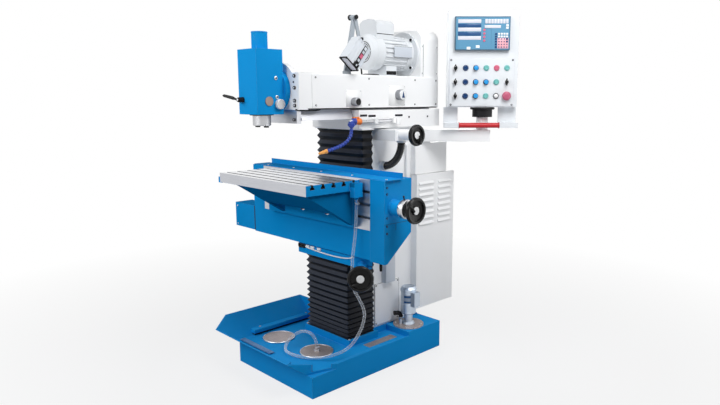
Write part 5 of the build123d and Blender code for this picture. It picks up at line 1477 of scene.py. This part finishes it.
class MILL_OT_base(bpy.types.Operator):
    """Dress the base and its chip pan"""

    bl_idname = "mill.base"
    bl_label = "Base"

    rim = ((81.5, 22.8), (86.2, 18.2), (86.2, 22.6), (84.8, 24.4), (82.2, 24.4))
    nut = ((8.5, 23), (16.5, 23, 6), (16.5, 31, 6), (14, 33.5), (8.5, 33.5))

    def execute(self, context):
        at = facing(UP, (104, -267, 100), (-190, -292, 100))
        turned("sump_rims", "turned_steel", "frame", at, self.rim, 64, "plate_grey", ring=True)
        turned("sump_nut", "turned_steel", "frame", at[:1], self.nut, 24, ring=True)
        ledge = [((-341, -372, 129), (-300, 13, 151))]
        boxed("pan_ledge", "blue_enamel", "frame", ledge, 3, slot="blue_paint")
        # A black strip under the ledge stands for painted shade in the gap.
        boxed("pan_ledge_gap", "black_plastic", "frame", [((-332, -369, 122.8), (-304, 10, 130))])
        screws("pan_bolts", "turned_steel", "frame", [(-327, -320, 151), (-325, -1, 151)], UP, 6, 5)
        strainer = [((-303, -464, 122.8), (-29, -434, 126.2))]
        boxed("pan_strainer", "strainer_blue", "frame", strainer, 0.8, slot="plate_grey")
        screws("foot_screws", "turned_steel", "frame", [(x, -104, 154) for x in (-175, 175)], UP, 6.2, 4)
        return {"FINISHED"}


class MILL_OT_pump(bpy.types.Operator):
    """Dress the coolant pump"""

    bl_idname = "mill.pump"
    bl_label = "Coolant pump"

    x, y = 225, 292
    foot = ((36, 7.5), (36, 8.8), (83.8, 8.8), (84.8, 7.8), (84.8, 1.2), (83.8, 0.4))
    outlet_route = ((185, 272, 190), (185, 272, 200), (182, 264, 212), (174, 250, 214), (165, 235, 214))

    def wrapped(self, name, finish, low, high, first, last, rise):
        """A thin label bent round the pump's motor between two heights and two bearings."""
        turns = [math.radians(first + (last - first) * i / 12) for i in range(13)]
        ring = [(42 + rise, a) for a in turns] + [(41.2, a) for a in turns[::-1]]
        form = Form()
        form.skin([
            [(self.x + r * math.cos(a), self.y + r * math.sin(a), z) for r, a in ring] for z in (low, high)
        ])
        form.piece(name, finish, "frame")

    def execute(self, context):
        bearings = (0.5, 2.2, 3.9, 5.3)
        spots = [(self.x + 70 * math.cos(a), self.y + 70 * math.sin(a), 158) for a in bearings]
        screws("pump_screws", "turned_steel", "frame", spots, UP, 6.2, 4.4)
        at = facing(UP, (self.x, self.y, 150))
        turned("pump_foot", "rolled_plate", "frame", at, self.foot, 64, "plate_grey", ring=True)
        self.wrapped("pump_label", "pump_plate", 282, 330, -84, 6, 0.8)
        self.wrapped("pump_label_band", "dark_window", 285, 295, -81, 3, 1.4)
        self.wrapped("pump_label_head", "dark_window", 314, 326, -81, 3, 1.4)
        at = facing(UP, *((self.x, self.y, z) for z in (224.5, 272, 337.5)))
        outline = ((41.6, 0), (43.1, 0.8), (43.1, 2.6), (41.6, 3.4))
        turned("pump_bands", "pump_silver", "frame", at, outline, 56, "pump_silver", ring=True)
        line = even_line("outlet_line", self.outlet_route, 24)
        outlet = Form().sweep(line, lambda share: 11.8 + 1.2 * (math.sin(share * 24) > 0.6), 20)
        outlet.piece("pump_outlet", "black_plastic", "frame", "black_plastic")
        return {"FINISHED"}


class MILL_OT_column(bpy.types.Operator):
    """Dress the column and the saddle"""

    bl_idname = "mill.column"
    bl_label = "Column"

    def execute(self, context):
        spots = [(142, y, z) for y in (122, 290) for z in (175, 390)]
        screws("column_cover_screws", "black_oxide", "frame", spots, RIGHT, 4.3, 2.4)
        sides = ((112, 164), (113.2, 400)), ((298.8, 164), (300, 400)), ((112, 398.8), (300, 400))
        rim = [((141.4, *low), (142.4, *high)) for low, high in sides]
        boxed("column_cover_rim", "black_oxide", "frame", rim)
        # Black strips stand for the painted shade inside the saddle's slots.
        runs = ((-29, 19, 1308), (29, 79, 1305), (222, 279, 1305))
        slots = [((184.2, first, z), (186, last, z + 10.5)) for first, last, z in runs]
        boxed("saddle_slots", "black_oxide", "frame", slots, 0.5)
        spots = [(185, y, 1300) for y in (330, 480)]
        screws("saddle_gib_screws", "black_oxide", "frame", spots, RIGHT, 5, 2.6)
        duct = [((135.2, 169.4, 401), (171.6, 240.6, 1000.6))]
        boxed("cable_duct", "silver_enamel", "frame", duct, 1)
        return {"FINISHED"}


class MILL_OT_cabinet(bpy.types.Operator):
    """Add the cabinet's door, hinges and locks"""

    bl_idname = "mill.cabinet"
    bl_label = "Cabinet"

    hinge = ((0, 0), (5.5, 0), (5.5, 24), (4.5, 24.5), (4.5, 25.5), (5.5, 26), (5.5, 50), (0, 50))
    lock = ((14, 0), (14, 3), (12.5, 4.8), (7.5, 4.8), (7.5, 1.5), (0, 1.5))

    def execute(self, context):
        low, high = box_of("cabinet")
        rear = high.y
        door = [((low.x + 22, rear - 1, low.z + 25), (158, rear + 4, high.z - 25))]
        boxed("cabinet_door", "white_enamel", "frame", door, 2.2, slot="white_paint")
        at = facing(UP, *((164, rear + 5, z) for z in (300, 580, 860)))
        turned("door_hinges", "turned_steel", "frame", at, self.hinge, 16)
        locks = Form()
        for at in facing(REAR, *((low.x + 46, rear + 3.5, z) for z in (400, 780))):
            locks.lathe(self.lock, at, 28)
            locks.block((-1.5, -6.8, 1), (1.5, 6.8, 4.6), at)
        locks.piece("door_locks", "black_oxide", "frame")
        spots = [(x, 669, z) for x in (-155, 155) for z in (995, 1135)]
        screws("rear_box_screws", "turned_steel", "frame", spots, REAR, 5, 2.8)
        return {"FINISHED"}


class MILL_OT_stage(bpy.types.Operator):
    """Set the floor, soft light and camera"""

    bl_idname = "mill.stage"
    bl_label = "Stage"

    slab = ((0, -0.6), (14000, -0.6), (14000, -2), (0, -2))

    def lamp(self, name, at, toward, size, power):
        data = bpy.data.lights.new(name, "AREA")
        data.shape = "SQUARE"
        data.size = size
        data.energy = power
        made = bpy.data.objects.new(name, data)
        made.matrix_world = looking(at, Vector(at) - Vector(toward))
        bpy.context.scene.collection.objects.link(made)

    def seen(self, wiring):
        """The share of rays that show the backdrop: those of the camera, of gloss and of glass."""
        rays = wiring.outlets(wiring.node("ShaderNodeLightPath"))
        return rays["Is Camera Ray"] | rays["Is Glossy Ray"] | rays["Is Transmission Ray"]

    def backdrop(self, wiring, plain, share, kind, output):
        """Mix a plain white over a shader for a share of the rays."""
        white = wiring.node(kind, sockets={"Color": WHITE})
        plain = Wire(wiring, plain.outputs[0])
        mixed = wiring.node("ShaderNodeMixShader", sockets={0: share, 1: plain, 2: white})
        wiring.join(wiring.tree.nodes[output].inputs["Surface"], mixed)

    def execute(self, context):
        stage = context.scene.mill_stage
        context.scene.view_settings.view_transform = "Standard"
        world = bpy.data.worlds.new("soft_light")
        world.use_nodes = True
        context.scene.world = world
        wiring = Wiring(world.node_tree)
        light = wiring.tree.nodes["Background"]
        wiring.join(light.inputs["Color"], WHITE)
        wiring.join(light.inputs["Strength"], stage.daylight)
        self.backdrop(wiring, light, self.seen(wiring), "ShaderNodeBackground", "World Output")
        paint = Finish("pale_floor", Base_Color=stage.floor, Roughness=0.7)
        spot = paint.node("ShaderNodeNewGeometry", out="Position")
        reach = paint.node("ShaderNodeVectorMath", {"operation": "LENGTH"}, {0: spot}, out="Value")
        limits = {"From Min": 1.0, "From Max": 3.2, "To Min": 0.78, "To Max": 1.0}
        fade = paint.node("ShaderNodeMapRange", sockets={"Value": reach, **limits})
        share = self.seen(paint) * fade
        self.backdrop(paint, paint.shader, share, "ShaderNodeEmission", "Material Output")
        floor = Form().lathe(self.slab, HERE, 96).piece("floor", paint.material, None)
        self.lamp("left_lamp", (-1.2, -2.6, 2.6), (0, -0.3, 1.2), 1.6, stage.left)
        self.lamp("front_lamp", (0.2, -2.9, 2.4), (0, -0.3, 1.3), 1.6, stage.front)
        self.lamp("right_lamp", (1.5, 0.0, 2.7), (0.1, 0, 1.5), 1.2, stage.right)
        self.lamp("rear_lamp", (1.2, 1.0, 0.95), (0.18, 0.5, 0.75), 0.8, stage.rear)
        self.lamp("back_lamp", (-1.6, 3.0, 2.2), (0, 0.4, 0.9), 1.6, stage.back)
        data = bpy.data.cameras.new("camera")
        data.sensor_width = 36.0
        data.lens = stage.lens
        data.shift_x = stage.shift
        camera = bpy.data.objects.new("camera", data)
        camera.location = stage.camera_at
        camera.rotation_euler = stage.camera_turn
        context.scene.collection.objects.link(camera)
        context.scene.camera = camera
        return {"FINISHED"}


class MILL_PT_panel(bpy.types.Panel):
    """The machine's pieces, colours and sizes"""

    bl_idname = "MILL_PT_panel"
    bl_label = "Milling machine"
    bl_space_type = "VIEW_3D"
    bl_region_type = "UI"
    bl_category = "Milling machine"

    def draw(self, context):
        for operator in OPERATORS:
            self.layout.operator(operator.bl_idname)
        for group in GROUPS:
            box = self.layout.box()
            for name in GROUPS[group].__annotations__:
                box.prop(getattr(context.scene, group), name)


GROUPS = {"mill_colours": MillColours, "mill_sizes": MillSizes, "mill_stage": MillStage}
OPERATORS = (
    MILL_OT_stage, MILL_OT_drain_hose, MILL_OT_conduit, MILL_OT_coolant_line, MILL_OT_finishes,
    MILL_OT_way_covers, MILL_OT_handwheels, MILL_OT_controls, MILL_OT_readout, MILL_OT_pendant,
    MILL_OT_work_light, MILL_OT_ram, MILL_OT_motor, MILL_OT_head, MILL_OT_table, MILL_OT_knee,
    MILL_OT_base, MILL_OT_pump, MILL_OT_column, MILL_OT_cabinet,
)


def register():
    for made in (*GROUPS.values(), *OPERATORS, MILL_PT_panel):
        bpy.utils.register_class(made)
    for name, group in GROUPS.items():
        setattr(bpy.types.Scene, name, PointerProperty(type=group))


def unregister():
    for name in GROUPS:
        delattr(bpy.types.Scene, name)
    for made in (MILL_PT_panel, *reversed(OPERATORS), *GROUPS.values()):
        bpy.utils.unregister_class(made)


def main():
    register()
    for operator in OPERATORS:
        group, name = operator.bl_idname.split(".")
        getattr(getattr(bpy.ops, group), name)()


if __name__ == "__main__":
    main()
